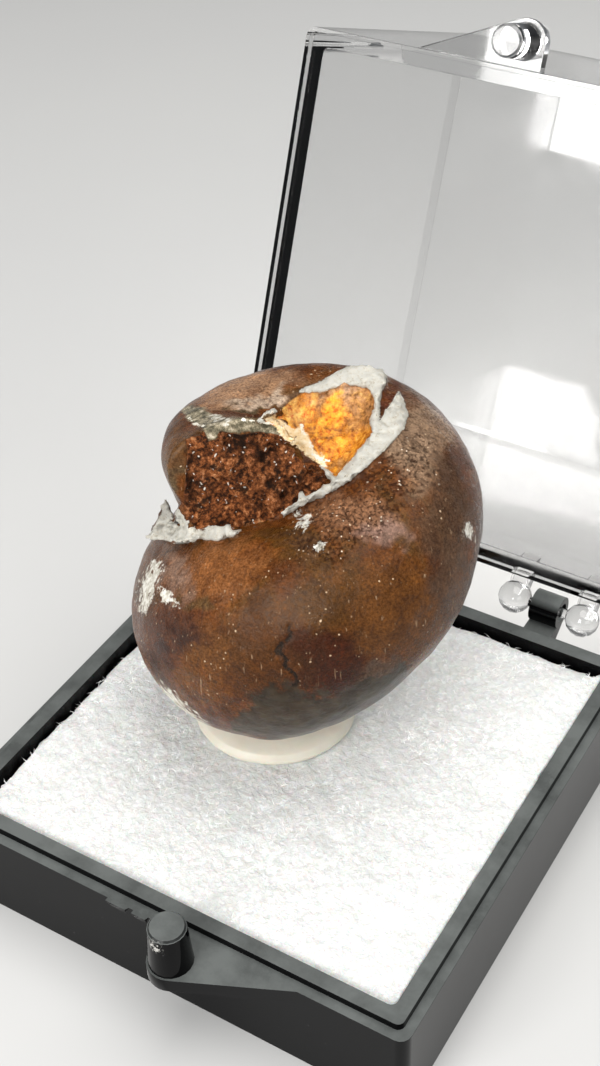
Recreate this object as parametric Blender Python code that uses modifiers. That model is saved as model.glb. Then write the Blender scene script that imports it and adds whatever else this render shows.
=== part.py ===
"""Fossil snail in a small hinged display box.

The snail is a natural cast of a coiled shell: an iron-brown helicospiral of about one and a third whorls,
broken across its small end, with a hollow of calcite beside the break and crusts of white shell along the seam
between the whorls.  It sits on a dot of putty on a soft white pad, in a black tray with a clear lid.

Units are metres.  The origin is the centre of the tray's underside, +X runs along the latch wall to the right,
+Y from the latch to the hinge, +Z up.
"""
import math

import bmesh
import bpy
from mathutils import Matrix, Vector, noise
from mathutils.bvhtree import BVHTree

# ---------------------------------------------------------------- driving dimensions of the box
MM = 0.001
GAP = 0.0003                 # clearance between neighbouring pieces

BOX_SIDE = 0.032             # the box is square in plan
BOX_HEIGHT = 0.032           # underside of the tray to top of the closed lid
TRAY_HEIGHT = 0.0066         # underside to the ledge that the lid closes on
TRAY_WALL = 0.0015
TRAY_FLOOR = 0.0012
LIP_HEIGHT = 0.0005          # inner rim that stands above the ledge
LEDGE_WIDTH = 0.0006
EDGE_ROUND = 0.00025         # softened moulded edges

LID_WALL = 0.0012
LID_SKIN = 0.0003            # thin edge of the lid that laps over the tray's lip

PAD_CROWN = 0.0001           # the pad stands this much above the ledge
PAD_ROUND = 0.0006
PUTTY_CENTRE = (-0.0025, 0.0012)
PUTTY_RADIUS = 0.0051
PUTTY_FOOT = 0.0007          # height of the putty's round edge
PUTTY_DOME = 0.0019          # and of the low dome over it
PUTTY_SEAT_GAP = 0.0004      # the snail is pressed into it with this much room all round

HINGE_OUT = 0.0017           # hinge axis behind the tray's back wall
HINGE_UP = 0.0008            # hinge axis above the ledge
HINGE_X = 0.0089             # each hinge left and right of the middle
BARREL_LENGTH = 0.0020
BARREL_RADIUS = 0.0011
BARREL_BORE = 0.00065
KNUCKLE_RADIUS = 0.00115
KNUCKLE_OUT = 0.00245        # from the barrel's middle to each clear knuckle
KNUCKLE_ARM = 0.0012         # width of the arm that carries a knuckle
PIN_RADIUS = 0.00035
PIN_REACH = 0.0006           # how far each pin goes into the barrel
WEB_DEPTH = 0.0010           # bracket under the barrel

LATCH_Y = -BOX_SIDE / 2 - 0.00165
TRAY_POST_X = 0.00225
LID_POST_X = -0.00085        # beside the tray's post, so that the two snap past each other
POST_HEIGHT = 0.0030
TRAY_POST_RADII = (0.00132, 0.00112)
LID_POST_RADII = (0.00120, 0.00102)
POST_CHAMFER = 0.00015
SHELF_THICK = 0.0010
SHELF_ROUND = 0.0014         # round end of a latch shelf, about its post
SHELF_RUN = 0.0071           # from the post to where the shelf's ramp meets the wall

TOOTH_STARTS = (-0.0033, -0.0015)   # ragged steps left of the tray's post
TOOTH_WIDTHS = (0.0017, 0.0012)
TOOTH_OUT = 0.00025
TOOTH_DROP = 0.0018

LEDGE_Z = TRAY_HEIGHT
LIP_Z = TRAY_HEIGHT + LIP_HEIGHT
LID_RIM_Z = TRAY_HEIGHT + GAP
PAD_TOP = LEDGE_Z + PAD_CROWN
HINGE_Y = BOX_SIDE / 2 + HINGE_OUT
HINGE_Z = LEDGE_Z + HINGE_UP

# ---------------------------------------------------------------- driving dimensions of the snail
# One row for each third of a turn, from the broken small end to the end of the last whorl:
# distance from the spiral's axis, distance down the axis, half width across and half width along the axis.
WHORL_ROWS = (
    (0.0035, -0.0049, 0.0030, 0.0041),
    (0.0042, -0.0028, 0.0042, 0.0048),
    (0.0050, -0.0001, 0.0049, 0.0055),
    (0.0062, 0.0035, 0.0058, 0.0068),
    (0.0060, 0.0064, 0.0066, 0.0067),
    (0.0052, 0.0064, 0.0058, 0.0056),
)
ROW_TURN = math.radians(120)
SNAIL_CENTRE = Vector((-0.0006, 0.0035, 0.0215))
SPIRAL_AXIS = Vector((-0.25, -0.06, 0.965)).normalized()
START_TURN = math.radians(9.6)      # the break faces the latch, turned this much to the left
SECTION_LEAN = math.radians(-4)
BREAK_SQUARENESS = 3.2              # superellipse power of the section at the break, 2 is an ellipse
BREAK_SLOPE = (0.80, 0.17)          # lean of the broken face across and along its section
RINGS_PER_ROW = 14
RING_POINTS = 40
BREAK_RINGS = 8
COIL_ROWS = 4.1                     # the coil ends this many rows from the break
DOME_ROWS = 0.3                     # and closes in a dome over this much more
LUMP_SIZE = 0.004
LUMP_HEIGHT = 0.00012
GRAIN_SIZE = 0.0011
GRAIN_HEIGHT = 0.0004
VOXEL = 0.00026
SNAIL_TRIANGLE_SHARE = 0.09         # of the voxel surface's triangles

# The marks on the front are laid out as they are seen from this eye, in millimetres right and up of a target.
EYE = Vector((0.03731, -0.05794, 0.08098))
TARGET = Vector((-0.0010, 0.0020, 0.0196))
SIGHT_ROLL = math.radians(-2.25)

CALCITE_OUTLINE = ((-2.6, 8.0), (-1.5, 9.0), (-0.3, 9.7), (1.4, 10.2), (2.8, 10.5), (4.3, 10.4), (5.2, 9.6),
                   (5.2, 8.2), (4.6, 6.8), (3.8, 5.6), (2.8, 4.4), (1.6, 4.2), (0.4, 5.0), (-0.6, 6.2), (-1.6, 7.2))

# Crusts of shell: outline, where beside each point the skin's depth is read, how far it stands proud and is sunk.
CRUSTS = (
    # the shard that stands along the seam, beside the calcite
    (((5.9, 10.0), (6.4, 9.3), (6.6, 8.6), (6.2, 7.8), (5.6, 7.0), (4.6, 6.0), (3.5, 5.15), (2.6, 4.5), (1.65, 3.85),
      (0.65, 3.4), (-0.9, 2.45), (-0.3, 3.2), (0.55, 3.7), (1.5, 4.2), (2.3, 4.7), (3.1, 5.6), (3.95, 6.5),
      (4.5, 7.15), (5.1, 8.0), (5.5, 9.0)), (0.5, -0.5), 0.5, 1.2),
    # the patch over the crest
    (((0.3, 9.8), (1.4, 10.4), (2.5, 10.9), (3.2, 11.3), (4.0, 11.35), (4.8, 11.1), (5.25, 10.6), (5.2, 10.1),
      (4.9, 9.7), (4.65, 9.3), (4.35, 9.8), (3.6, 10.15), (2.7, 10.2), (1.65, 9.9)), (0.0, -0.5), 0.35, 0.8),
    # the thin edge that runs down from the patch
    (((4.8, 10.2), (5.3, 10.1), (5.15, 9.2), (4.9, 8.4), (4.75, 7.6), (4.35, 7.4), (4.5, 8.4), (4.6, 9.3)),
     (0.3, -0.2), 0.3, 1.0),
    # the splinter at the foot of the broken face
    (((0.0, 3.3), (0.2, 4.05), (0.4, 3.5), (0.6, 4.0), (0.8, 3.6), (1.5, 4.0), (1.75, 3.8), (0.8, 3.2)),
     (0.4, -0.6), 0.3, 0.8),
    # the crumbled shell left of the broken face
    (((-8.8, 1.1), (-8.5, 1.8), (-8.0, 2.4), (-7.8, 3.4), (-7.55, 2.7), (-7.1, 2.65), (-6.8, 2.75), (-6.3, 2.45),
      (-5.7, 2.05), (-5.4, 1.75), (-4.6, 1.8), (-3.9, 1.65), (-3.85, 1.4), (-4.8, 1.1), (-5.9, 0.9), (-7.2, 0.9)),
     (0.3, -0.8), 0.1, 1.2),
)


def clear_scene():
    for item in list(bpy.data.objects):
        bpy.data.objects.remove(item, do_unlink=True)


def new_collection(name):
    collection = bpy.data.collections.new(name)
    bpy.context.scene.collection.children.link(collection)
    return collection


clear_scene()
PARTS = new_collection("fossil_snail_in_box")
CUTTERS = new_collection("cutters")


# ---------------------------------------------------------------- materials
def material(name, colour, roughness, metallic=0.0, transmission=0.0, ior=1.5):
    result = bpy.data.materials.new(name)
    result.use_nodes = True
    shader = result.node_tree.nodes["Principled BSDF"]
    shader.inputs["Base Color"].default_value = (*colour, 1)
    shader.inputs["Roughness"].default_value = roughness
    shader.inputs["Metallic"].default_value = metallic
    shader.inputs["Transmission Weight"].default_value = transmission
    shader.inputs["IOR"].default_value = ior
    return result


FOSSIL_BROWN = material("polished_ironstone", (0.16, 0.06, 0.025), 0.32)
PUTTY_CREAM = material("mineral_putty", (0.82, 0.78, 0.68), 0.55)
FOAM_WHITE = material("white_foam", (0.86, 0.88, 0.86), 0.9)
TRAY_BLACK = material("black_plastic", (0.012, 0.012, 0.013), 0.12)
LID_CLEAR = material("clear_plastic", (1.0, 1.0, 1.0), 0.03, transmission=1.0, ior=1.49)


# ---------------------------------------------------------------- small modelling helpers
def add_object(name, mesh_or_bmesh, collection, finish=None):
    """Link a mesh, or a bmesh that is then freed, as a named object."""
    if isinstance(mesh_or_bmesh, bpy.types.Mesh):
        mesh = mesh_or_bmesh
    else:
        mesh = bpy.data.meshes.new(name)
        mesh_or_bmesh.to_mesh(mesh)
        mesh_or_bmesh.free()
    item = bpy.data.objects.new(name, mesh)
    collection.objects.link(item)
    if finish:
        mesh.materials.append(finish)
    if collection is CUTTERS:
        item.hide_render = True
        item.display_type = "WIRE"
    return item


def block(low, high, upright_round=0.0):
    """A box between two corners, its four upright edges rounded if asked."""
    bm = bmesh.new()
    bmesh.ops.create_cube(bm, size=1.0)
    size = Vector(high) - Vector(low)
    bmesh.ops.scale(bm, vec=size, verts=bm.verts)
    bmesh.ops.translate(bm, vec=(Vector(high) + Vector(low)) / 2, verts=bm.verts)
    if upright_round:
        upright = [e for e in bm.edges if abs(e.verts[0].co.z - e.verts[1].co.z) > size.z / 2]
        bmesh.ops.bevel(bm, geom=upright, offset=upright_round, segments=4, affect="EDGES", profile=0.5)
    return bm


def square_block(half_side, z_low, z_high, upright_round=0.0):
    return block((-half_side, -half_side, z_low), (half_side, half_side, z_high), upright_round)


def cone(base, top, radius_base, radius_top, segments=20):
    """A capped cone or cylinder between two points."""
    base, top = Vector(base), Vector(top)
    bm = bmesh.new()
    bmesh.ops.create_cone(bm, cap_ends=True, segments=segments, radius1=radius_base, radius2=radius_top,
                          depth=(top - base).length)
    turn = (top - base).to_track_quat("Z", "Y").to_matrix().to_4x4()
    bmesh.ops.transform(bm, matrix=Matrix.Translation((base + top) / 2) @ turn, verts=bm.verts)
    return bm


def ball(centre, radius):
    bm = bmesh.new()
    bmesh.ops.create_uvsphere(bm, u_segments=16, v_segments=8, radius=radius)
    bmesh.ops.rotate(bm, matrix=Matrix.Rotation(math.pi / 2, 3, "Y"), verts=bm.verts)
    bmesh.ops.translate(bm, vec=centre, verts=bm.verts)
    return bm


def plate(outline, z_low, z_high):
    """An upright-sided plate over a counter-clockwise outline of (x, y) points."""
    bm = bmesh.new()
    floor = bm.faces.new([bm.verts.new((x, y, z_low)) for x, y in outline])
    floor.normal_flip()
    raised = bmesh.ops.extrude_face_region(bm, geom=[floor], use_keep_orig=True)
    tops = [v for v in raised["geom"] if isinstance(v, bmesh.types.BMVert)]
    bmesh.ops.translate(bm, vec=(0, 0, z_high - z_low), verts=tops)
    bmesh.ops.recalc_face_normals(bm, faces=bm.faces)
    return bm


def wedge(points):
    """The convex solid around a few points."""
    bm = bmesh.new()
    for point in points:
        bm.verts.new(point)
    hull = bmesh.ops.convex_hull(bm, input=bm.verts)
    spare = {v for v in hull["geom_interior"] + hull["geom_unused"] if isinstance(v, bmesh.types.BMVert)}
    bmesh.ops.delete(bm, geom=list(spare), context="VERTS")
    bmesh.ops.recalc_face_normals(bm, faces=bm.faces)
    return bm


def combine(target, tool, operation):
    """Add a Boolean modifier to the target, with the tool kept among the cutters."""
    modifier = target.modifiers.new(tool.name, "BOOLEAN")
    modifier.operation = operation
    modifier.object = tool
    modifier.solver = "EXACT"


def join(target, name, bm):
    combine(target, add_object(name, bm, CUTTERS), "UNION")


def cut(target, name, bm):
    combine(target, add_object(name, bm, CUTTERS), "DIFFERENCE")


def soften(target, width, segments=2, angle=40):
    bevel = target.modifiers.new("softened_edges", "BEVEL")
    bevel.width = width
    bevel.segments = segments
    bevel.limit_method = "ANGLE"
    bevel.angle_limit = math.radians(angle)


# ---------------------------------------------------------------- latch shapes shared by tray and lid
def shelf_outline(post_x, side):
    """A shelf that runs up as a ramp from the wall on one side and ends in a round about the post."""
    inside = -BOX_SIDE / 2 + TRAY_WALL / 2
    wall = -BOX_SIDE / 2
    ramp_foot = (post_x + side * SHELF_RUN, wall)
    reach = math.hypot(SHELF_RUN, wall - LATCH_Y)
    points = [(ramp_foot[0], inside), ramp_foot]
    steps = 10
    first = math.atan2(wall - LATCH_Y, SHELF_RUN) - math.acos(SHELF_ROUND / reach)
    last = -math.pi
    for step in range(steps + 1):
        angle = first + (last - first) * step / steps
        points.append((post_x + side * SHELF_ROUND * math.cos(angle), LATCH_Y + SHELF_ROUND * math.sin(angle)))
    points.append((post_x - side * SHELF_ROUND, inside))
    return points if side < 0 else points[::-1]


def post(target, name, x, z_start, direction, radii):
    """A tapered latch post with a chamfered end."""
    end = z_start + direction * POST_HEIGHT
    shoulder = end - direction * POST_CHAMFER
    root = z_start - direction * SHELF_THICK / 2
    join(target, name, cone((x, LATCH_Y, root), (x, LATCH_Y, shoulder), *radii))
    join(target, name + "_end", cone((x, LATCH_Y, shoulder - direction * POST_CHAMFER / 2), (x, LATCH_Y, end),
                                     radii[1], radii[1] - POST_CHAMFER))


# ---------------------------------------------------------------- black tray
def make_tray():
    outer = BOX_SIDE / 2
    inner = outer - TRAY_WALL
    tray = add_object("base_tray", square_block(outer, 0, LEDGE_Z, 0.0007), PARTS, TRAY_BLACK)
    join(tray, "tray_lip", square_block(outer - LEDGE_WIDTH, TRAY_FLOOR, LIP_Z, 0.0004))
    cut(tray, "tray_well", square_block(inner, TRAY_FLOOR, LIP_Z + 0.001, 0.0004))
    shelf = plate(shelf_outline(TRAY_POST_X, 1), LEDGE_Z - SHELF_THICK, LEDGE_Z)
    join(tray, "tray_shelf", shelf)
    post(tray, "tray_post", TRAY_POST_X, LEDGE_Z, 1, TRAY_POST_RADII)
    for number, (start, width) in enumerate(zip(TOOTH_STARTS, TOOTH_WIDTHS)):
        tooth = wedge([(start, -outer + 0.0004, LEDGE_Z), (start, -outer - TOOTH_OUT, LEDGE_Z),
                       (start + width * 0.8, -outer - TOOTH_OUT, LEDGE_Z), (start + width, -outer + 0.0004, LEDGE_Z),
                       (start + width * 0.5, -outer + 0.0004, LEDGE_Z - TOOTH_DROP)])
        join(tray, f"tray_tooth_{number}", tooth)
    for side, x in (("left", -HINGE_X), ("right", HINGE_X)):
        half = BARREL_LENGTH / 2
        web = wedge([(x + dx, y, z) for dx in (-half, half)
                     for y, z in ((outer - 0.0005, LEDGE_Z), (outer - 0.0005, LEDGE_Z - 2 * WEB_DEPTH),
                                  (HINGE_Y, LEDGE_Z), (HINGE_Y + 0.0004, LEDGE_Z), (HINGE_Y, LEDGE_Z - WEB_DEPTH / 2))])
        join(tray, f"tray_web_{side}", web)
        axis = [(x + dx, HINGE_Y, HINGE_Z) for dx in (-half, half)]
        join(tray, f"tray_barrel_{side}", cone(*axis, BARREL_RADIUS, BARREL_RADIUS))
        long_axis = [(x + dx, HINGE_Y, HINGE_Z) for dx in (-2 * half, 2 * half)]
        cut(tray, f"tray_bore_{side}", cone(*long_axis, BARREL_BORE, BARREL_BORE, 16))
    return tray


# ---------------------------------------------------------------- clear lid
def resting_angle():
    """Turn of the open lid at which its top back edge meets the surface that the tray stands on.

    Seen from the hinge, that edge lies HINGE_OUT in front and BOX_HEIGHT - HINGE_Z up when the lid is closed.
    """
    up = BOX_HEIGHT - HINGE_Z
    reach = math.hypot(HINGE_OUT, up)
    return math.acos(-HINGE_Z / reach) + math.atan2(HINGE_OUT, up)


def make_lid():
    """The lid is modelled closed, then turned open about the hinge by its parent empty."""
    outer = BOX_SIDE / 2
    lid = add_object("lid", square_block(outer, LID_RIM_Z, BOX_HEIGHT, 0.0007), PARTS, LID_CLEAR)
    cut(lid, "lid_hollow", square_block(outer - LID_WALL, LID_RIM_Z - 0.001, BOX_HEIGHT - LID_WALL, 0.0004))
    cut(lid, "lid_rebate", square_block(outer - LID_SKIN, LID_RIM_Z - 0.001, LIP_Z + GAP, 0.0004))
    join(lid, "lid_shelf", plate(shelf_outline(LID_POST_X, -1), LID_RIM_Z + 0.0002, LID_RIM_Z + SHELF_THICK))
    post(lid, "lid_post", LID_POST_X, LID_RIM_Z + 0.0002, -1, LID_POST_RADII)
    cut(lid, "lid_shelf_trim", square_block(outer - LID_SKIN, LID_RIM_Z - 0.001, LIP_Z + GAP, 0.0004))
    for side, x in (("left", -HINGE_X), ("right", HINGE_X)):
        for end, outward in (("a", -1), ("b", 1)):
            middle = x + outward * KNUCKLE_OUT
            name = f"{side}_{end}"
            arm = wedge([(middle + dx, y, z) for dx in (-KNUCKLE_ARM / 2, KNUCKLE_ARM / 2)
                         for y, z in ((outer - LID_SKIN, LID_RIM_Z + 0.0006), (outer - LID_SKIN, LID_RIM_Z + 0.0026),
                                      (HINGE_Y, HINGE_Z + 0.0007), (HINGE_Y, HINGE_Z - 0.0002))])
            join(lid, f"lid_arm_{name}", arm)
            join(lid, f"lid_knuckle_{name}", ball((middle, HINGE_Y, HINGE_Z), KNUCKLE_RADIUS))
            pin_end = x + outward * (BARREL_LENGTH / 2 - PIN_REACH)
            join(lid, f"lid_pin_{name}", cone((middle, HINGE_Y, HINGE_Z), (pin_end, HINGE_Y, HINGE_Z),
                                              PIN_RADIUS, PIN_RADIUS, 12))
    hinge = bpy.data.objects.new("hinge_axis", None)
    PARTS.objects.link(hinge)
    hinge.location = (0, HINGE_Y, HINGE_Z)
    hinge.rotation_euler = (-(resting_angle() - math.radians(0.05)), 0, 0)
    for item in [lid] + [modifier.object for modifier in lid.modifiers]:
        item.parent = hinge
        item.matrix_parent_inverse = Matrix.Translation((0, -HINGE_Y, -HINGE_Z))
    return lid


# ---------------------------------------------------------------- soft pad and putty
def make_pad():
    half = BOX_SIDE / 2 - TRAY_WALL - GAP
    pad = add_object("foam_pad", square_block(half, TRAY_FLOOR + GAP, PAD_TOP, 0.0008), PARTS, FOAM_WHITE)
    soften(pad, PAD_ROUND, segments=2, angle=60)
    return pad


def make_putty(seat):
    """A low dome of putty with a round edge, hollowed where the snail is pressed into it."""
    x, y = PUTTY_CENTRE
    low = PAD_TOP + GAP
    bm = bmesh.new()
    rings = 6
    profile = [(PUTTY_RADIUS * 0.96, low), (PUTTY_RADIUS, low + PUTTY_FOOT / 2)]
    for step in range(rings + 1):
        angle = math.pi / 2 * step / rings
        profile.append((PUTTY_RADIUS * 0.97 * math.cos(angle), low + PUTTY_FOOT + PUTTY_DOME * math.sin(angle)))
    previous = [bm.verts.new((radius, 0, z)) for radius, z in profile]
    edges = [bm.edges.new(pair) for pair in zip(previous, previous[1:])]
    bmesh.ops.spin(bm, geom=previous + edges, cent=(0, 0, 0), axis=(0, 0, 1), angle=2 * math.pi, steps=28,
                   use_merge=True)
    bmesh.ops.remove_doubles(bm, verts=bm.verts, dist=1e-6)
    bmesh.ops.holes_fill(bm, edges=bm.edges, sides=0)
    bmesh.ops.recalc_face_normals(bm, faces=bm.faces)
    bmesh.ops.translate(bm, vec=(x, y, 0), verts=bm.verts)
    putty = add_object("putty", bm, PARTS, PUTTY_CREAM)
    combine(putty, seat, "DIFFERENCE")
    return putty


# ---------------------------------------------------------------- the snail's coil
def between_rows(column, place):
    """Smooth value at a place along the rows, a Catmull-Rom curve through them."""
    values = [row[column] for row in WHORL_ROWS]
    values = [2 * values[0] - values[1]] + values + [2 * values[-1] - values[-2]]
    index = min(int(place), len(WHORL_ROWS) - 2)
    f = place - index
    a, b, c, d = values[index:index + 4]
    return 0.5 * (2 * b + (c - a) * f + (2 * a - 5 * b + 4 * c - d) * f ** 2 + (3 * b - a - 3 * c + d) * f ** 3)


def coil_point(place, around, swell=0.0, shrink=1.0):
    """A point of the coil: place counts rows from the break, around is the angle about the section."""
    radius, down, half_across, half_along = (between_rows(column, place) for column in range(4))
    power = 2 + (BREAK_SQUARENESS - 2) * max(0.0, 1 - place / 2)
    c, s = math.cos(around), math.sin(around)
    fit = shrink * (abs(c) ** power + abs(s) ** power) ** (-1 / power)
    across, along = (half_across + swell) * c * fit, (half_along + swell) * s * fit
    across, along = (across * math.cos(SECTION_LEAN) - along * math.sin(SECTION_LEAN),
                     across * math.sin(SECTION_LEAN) + along * math.cos(SECTION_LEAN))
    front = (Vector((0, -1, 0)) - SPIRAL_AXIS * SPIRAL_AXIS.dot(Vector((0, -1, 0)))).normalized()
    left = front.cross(SPIRAL_AXIS)
    turn = START_TURN + place * ROW_TURN
    outward = front * math.cos(turn) + left * math.sin(turn)
    onward = left * math.cos(turn) - front * math.sin(turn)
    lean = max(0.0, 1 - place / 1.2) ** 2
    forward = lean * (BREAK_SLOPE[0] * across + BREAK_SLOPE[1] * along)
    return (SNAIL_CENTRE + outward * (radius + across) + SPIRAL_AXIS * (along - down) + onward * forward)


def coil(swell=0.0):
    """The coil as a loft of closed rings, with a flat break at the small end and a domed large end."""
    stations = [(0.0, step / BREAK_RINGS) for step in range(1, BREAK_RINGS)]
    count = round(COIL_ROWS * RINGS_PER_ROW)
    stations += [(COIL_ROWS * step / count, 1.0) for step in range(count + 1)]
    stations += [(COIL_ROWS + DOME_ROWS * math.sin(angle), math.cos(angle)) for angle in (0.4, 0.8, 1.15, 1.4)]
    bm = bmesh.new()
    rings = []
    for place, shrink in stations:
        rings.append([bm.verts.new(coil_point(place, 2 * math.pi * k / RING_POINTS, swell, shrink))
                      for k in range(RING_POINTS)])
    for ring, onward in zip(rings, rings[1:]):
        for k in range(RING_POINTS):
            n = (k + 1) % RING_POINTS
            bm.faces.new((ring[k], ring[n], onward[n], onward[k]))
    for ring in (rings[0], rings[-1]):
        bm.faces.new(ring)
    bmesh.ops.recalc_face_normals(bm, faces=bm.faces)
    return bm


# ---------------------------------------------------------------- marks laid out on the front, as seen from the eye
TOWARDS = (EYE - TARGET).normalized()
RIGHT = Matrix.Rotation(SIGHT_ROLL, 3, TOWARDS) @ Vector((0, 0, 1)).cross(TOWARDS).normalized()
UP = TOWARDS.cross(RIGHT)


def sight_ray(right, up):
    """Direction from the eye to a place in the plane through the target, in millimetres right and up of it."""
    return (TARGET + (RIGHT * right + UP * up) * MM - EYE).normalized()


def at_depth(right, up, depth):
    """The point of that sight ray that lies this far in front of the target's plane."""
    ray = sight_ray(right, up)
    return EYE + ray * ((TARGET - EYE).dot(TOWARDS) + depth) / ray.dot(TOWARDS)


def surface_depth(tree, right, up):
    """How far in front of the target's plane the coil's skin lies there."""
    hit = tree.ray_cast(EYE, sight_ray(right, up))[0]
    return None if hit is None else (hit - TARGET).dot(TOWARDS)


def flake(tree, outline, read_at, proud, sunk):
    """A crust of shell over an outline: it follows the skin, whose depth is read beside each point."""
    depths = [surface_depth(tree, right + read_at[0], up + read_at[1]) for right, up in outline]
    known = [depth for depth in depths if depth is not None]
    depths = [min(known) if depth is None else depth for depth in depths]
    return slab([at_depth(right, up, depth + proud) for (right, up), depth in zip(outline, depths)],
                [at_depth(right, up, depth - sunk) for (right, up), depth in zip(outline, depths)])


def slab(top, bottom):
    """A closed solid between two outlines with the same number of points."""
    bm = bmesh.new()
    uppers = [bm.verts.new(point) for point in top]
    lowers = [bm.verts.new(point) for point in bottom]
    count = len(uppers)
    for k in range(count):
        n = (k + 1) % count
        bm.faces.new((uppers[k], uppers[n], lowers[n], lowers[k]))
    caps = [bm.faces.new(uppers), bm.faces.new(lowers)]
    bmesh.ops.triangulate(bm, faces=caps)
    bmesh.ops.recalc_face_normals(bm, faces=bm.faces)
    return bm


def calcite_depth(right, up):
    """The calcite's face rises from the crest down to the seam, and is hollowed in its middle."""
    middle = math.hypot((right - 1.5) / 3.2, (up - 7.6) / 2.8)
    return (3.3 - 0.42 * (up - 8.0) + 0.05 * right - 0.5 * max(0.0, 1 - middle ** 2)) * MM


def calcite_fill():
    """Calcite that half fills the hollow of the coil, its outline shrunk ring by ring to follow the hollow."""
    bm = bmesh.new()
    centre = (1.6, 7.7)
    rings = []
    for size, sunk in ((1.0, 3.0), (1.0, 0.0), (0.75, 0.0), (0.5, 0.0), (0.25, 0.0)):
        ring = []
        for right, up in CALCITE_OUTLINE:
            r, u = centre[0] + (right - centre[0]) * size, centre[1] + (up - centre[1]) * size
            ring.append(bm.verts.new(at_depth(r, u, calcite_depth(r, u) - sunk * MM)))
        rings.append(ring)
    count = len(CALCITE_OUTLINE)
    for ring, inward in zip(rings, rings[1:]):
        for k in range(count):
            n = (k + 1) % count
            bm.faces.new((ring[k], ring[n], inward[n], inward[k]))
    bm.faces.new(rings[0])
    bm.faces.new(rings[-1])
    bmesh.ops.triangulate(bm, faces=[face for face in bm.faces if len(face.verts) > 4])
    bmesh.ops.recalc_face_normals(bm, faces=bm.faces)
    return bm


def join_loose(parts):
    """Several closed meshes as one mesh of loose bodies."""
    whole = bmesh.new()
    for part in parts:
        mesh = bpy.data.meshes.new("loose")
        part.to_mesh(mesh)
        part.free()
        whole.from_mesh(mesh)
        bpy.data.meshes.remove(mesh)
    return whole


def evaluated_mesh(item):
    depsgraph = bpy.context.evaluated_depsgraph_get()
    return bpy.data.meshes.new_from_object(item.evaluated_get(depsgraph))


def roughen(mesh):
    """Low lumps all over, and coarse grains on the broken face."""
    ring = [coil_point(0.0, math.pi * quarter / 2) for quarter in range(4)]
    break_normal = (ring[2] - ring[0]).cross(ring[3] - ring[1]).normalized()
    if break_normal.dot(TOWARDS) < 0:
        break_normal.negate()
    for vertex in mesh.vertices:
        place = vertex.co
        lumps = noise.fractal(place / LUMP_SIZE, 1.0, 2.0, 3) * LUMP_HEIGHT
        on_break = abs((place - ring[0]).dot(break_normal)) < 2 * VOXEL and vertex.normal.dot(break_normal) > 0.8
        grains = noise.fractal(place / GRAIN_SIZE, 0.6, 2.0, 3) * GRAIN_HEIGHT if on_break else 0.0
        vertex.co = place + vertex.normal * (lumps + grains)


def make_snail():
    bare = coil()
    tree = BVHTree.FromBMesh(bare)
    crusts = [flake(tree, outline, read_at, proud * MM, sunk * MM) for outline, read_at, proud, sunk in CRUSTS]
    rough = add_object("fossil_snail", join_loose([bare, calcite_fill()] + crusts), PARTS)
    remesh = rough.modifiers.new("one_skin", "REMESH")
    remesh.mode = "VOXEL"
    remesh.voxel_size = VOXEL
    skin = evaluated_mesh(rough)
    bpy.data.objects.remove(rough, do_unlink=True)
    roughen(skin)
    snail = add_object("fossil_snail", skin, PARTS, FOSSIL_BROWN)
    thin = snail.modifiers.new("fewer_triangles", "DECIMATE")
    thin.ratio = SNAIL_TRIANGLE_SHARE
    return snail


make_tray()
make_lid()
make_pad()
snail = make_snail()
seat = add_object("putty_seat", coil(swell=PUTTY_SEAT_GAP), CUTTERS)
make_putty(seat)
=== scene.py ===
"""A fossil snail in its hinged display box, dressed for the eye over the fixed CAD frame.

The sections follow the object as it is put together: the room it is seen in, the tray, the pad, the putty, the pad's
loose fibres, the snail and the lid.  Lengths are in millimetres until a mesh is made, and MM turns them into metres.
"""

import math

import bmesh
import bpy
import numpy as np
from mathutils import Matrix, Vector


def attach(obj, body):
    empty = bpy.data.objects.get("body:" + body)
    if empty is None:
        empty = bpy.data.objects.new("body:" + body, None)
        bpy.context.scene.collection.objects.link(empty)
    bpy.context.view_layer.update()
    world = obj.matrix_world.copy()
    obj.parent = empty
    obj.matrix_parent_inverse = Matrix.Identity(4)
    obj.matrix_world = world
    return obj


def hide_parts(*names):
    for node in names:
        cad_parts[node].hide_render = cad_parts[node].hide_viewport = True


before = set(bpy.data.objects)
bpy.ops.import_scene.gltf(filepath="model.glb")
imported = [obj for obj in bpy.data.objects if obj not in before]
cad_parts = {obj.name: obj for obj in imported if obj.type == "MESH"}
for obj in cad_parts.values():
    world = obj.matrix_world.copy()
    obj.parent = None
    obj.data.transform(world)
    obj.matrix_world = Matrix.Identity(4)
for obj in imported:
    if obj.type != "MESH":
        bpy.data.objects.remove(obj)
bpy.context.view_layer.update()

# ---------------------------------------------------------------- the room: camera, floor and lights
# A pale tabletop with the faintest mottle, lit by three soft studio lights and a dim even sky.
# The eye is close and steep, a little to the right of the latch.
MM = 0.001
EYE = np.array([37.31, -57.94, 80.98])
HEADING, ELEVATION, ROLL = (math.radians(angle) for angle in (32.39, 39.9, -2.25))
FRAME_HEIGHT = 36.0
LENS = 54.05
FLOOR_HALF = 900.0
FLOOR_COLOUR = (0.62, 0.62, 0.61)


def unit(vector):
    """The vector over its own length."""
    return vector / np.linalg.norm(vector)


def sight_axes(back):
    """Right, up and back of an eye that looks against `back`, rolled about it."""
    level = unit(np.cross([0.0, 0.0, 1.0], back))
    right = level * math.cos(ROLL) + np.cross(back, level) * math.sin(ROLL)
    return right, np.cross(back, right), back


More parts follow.
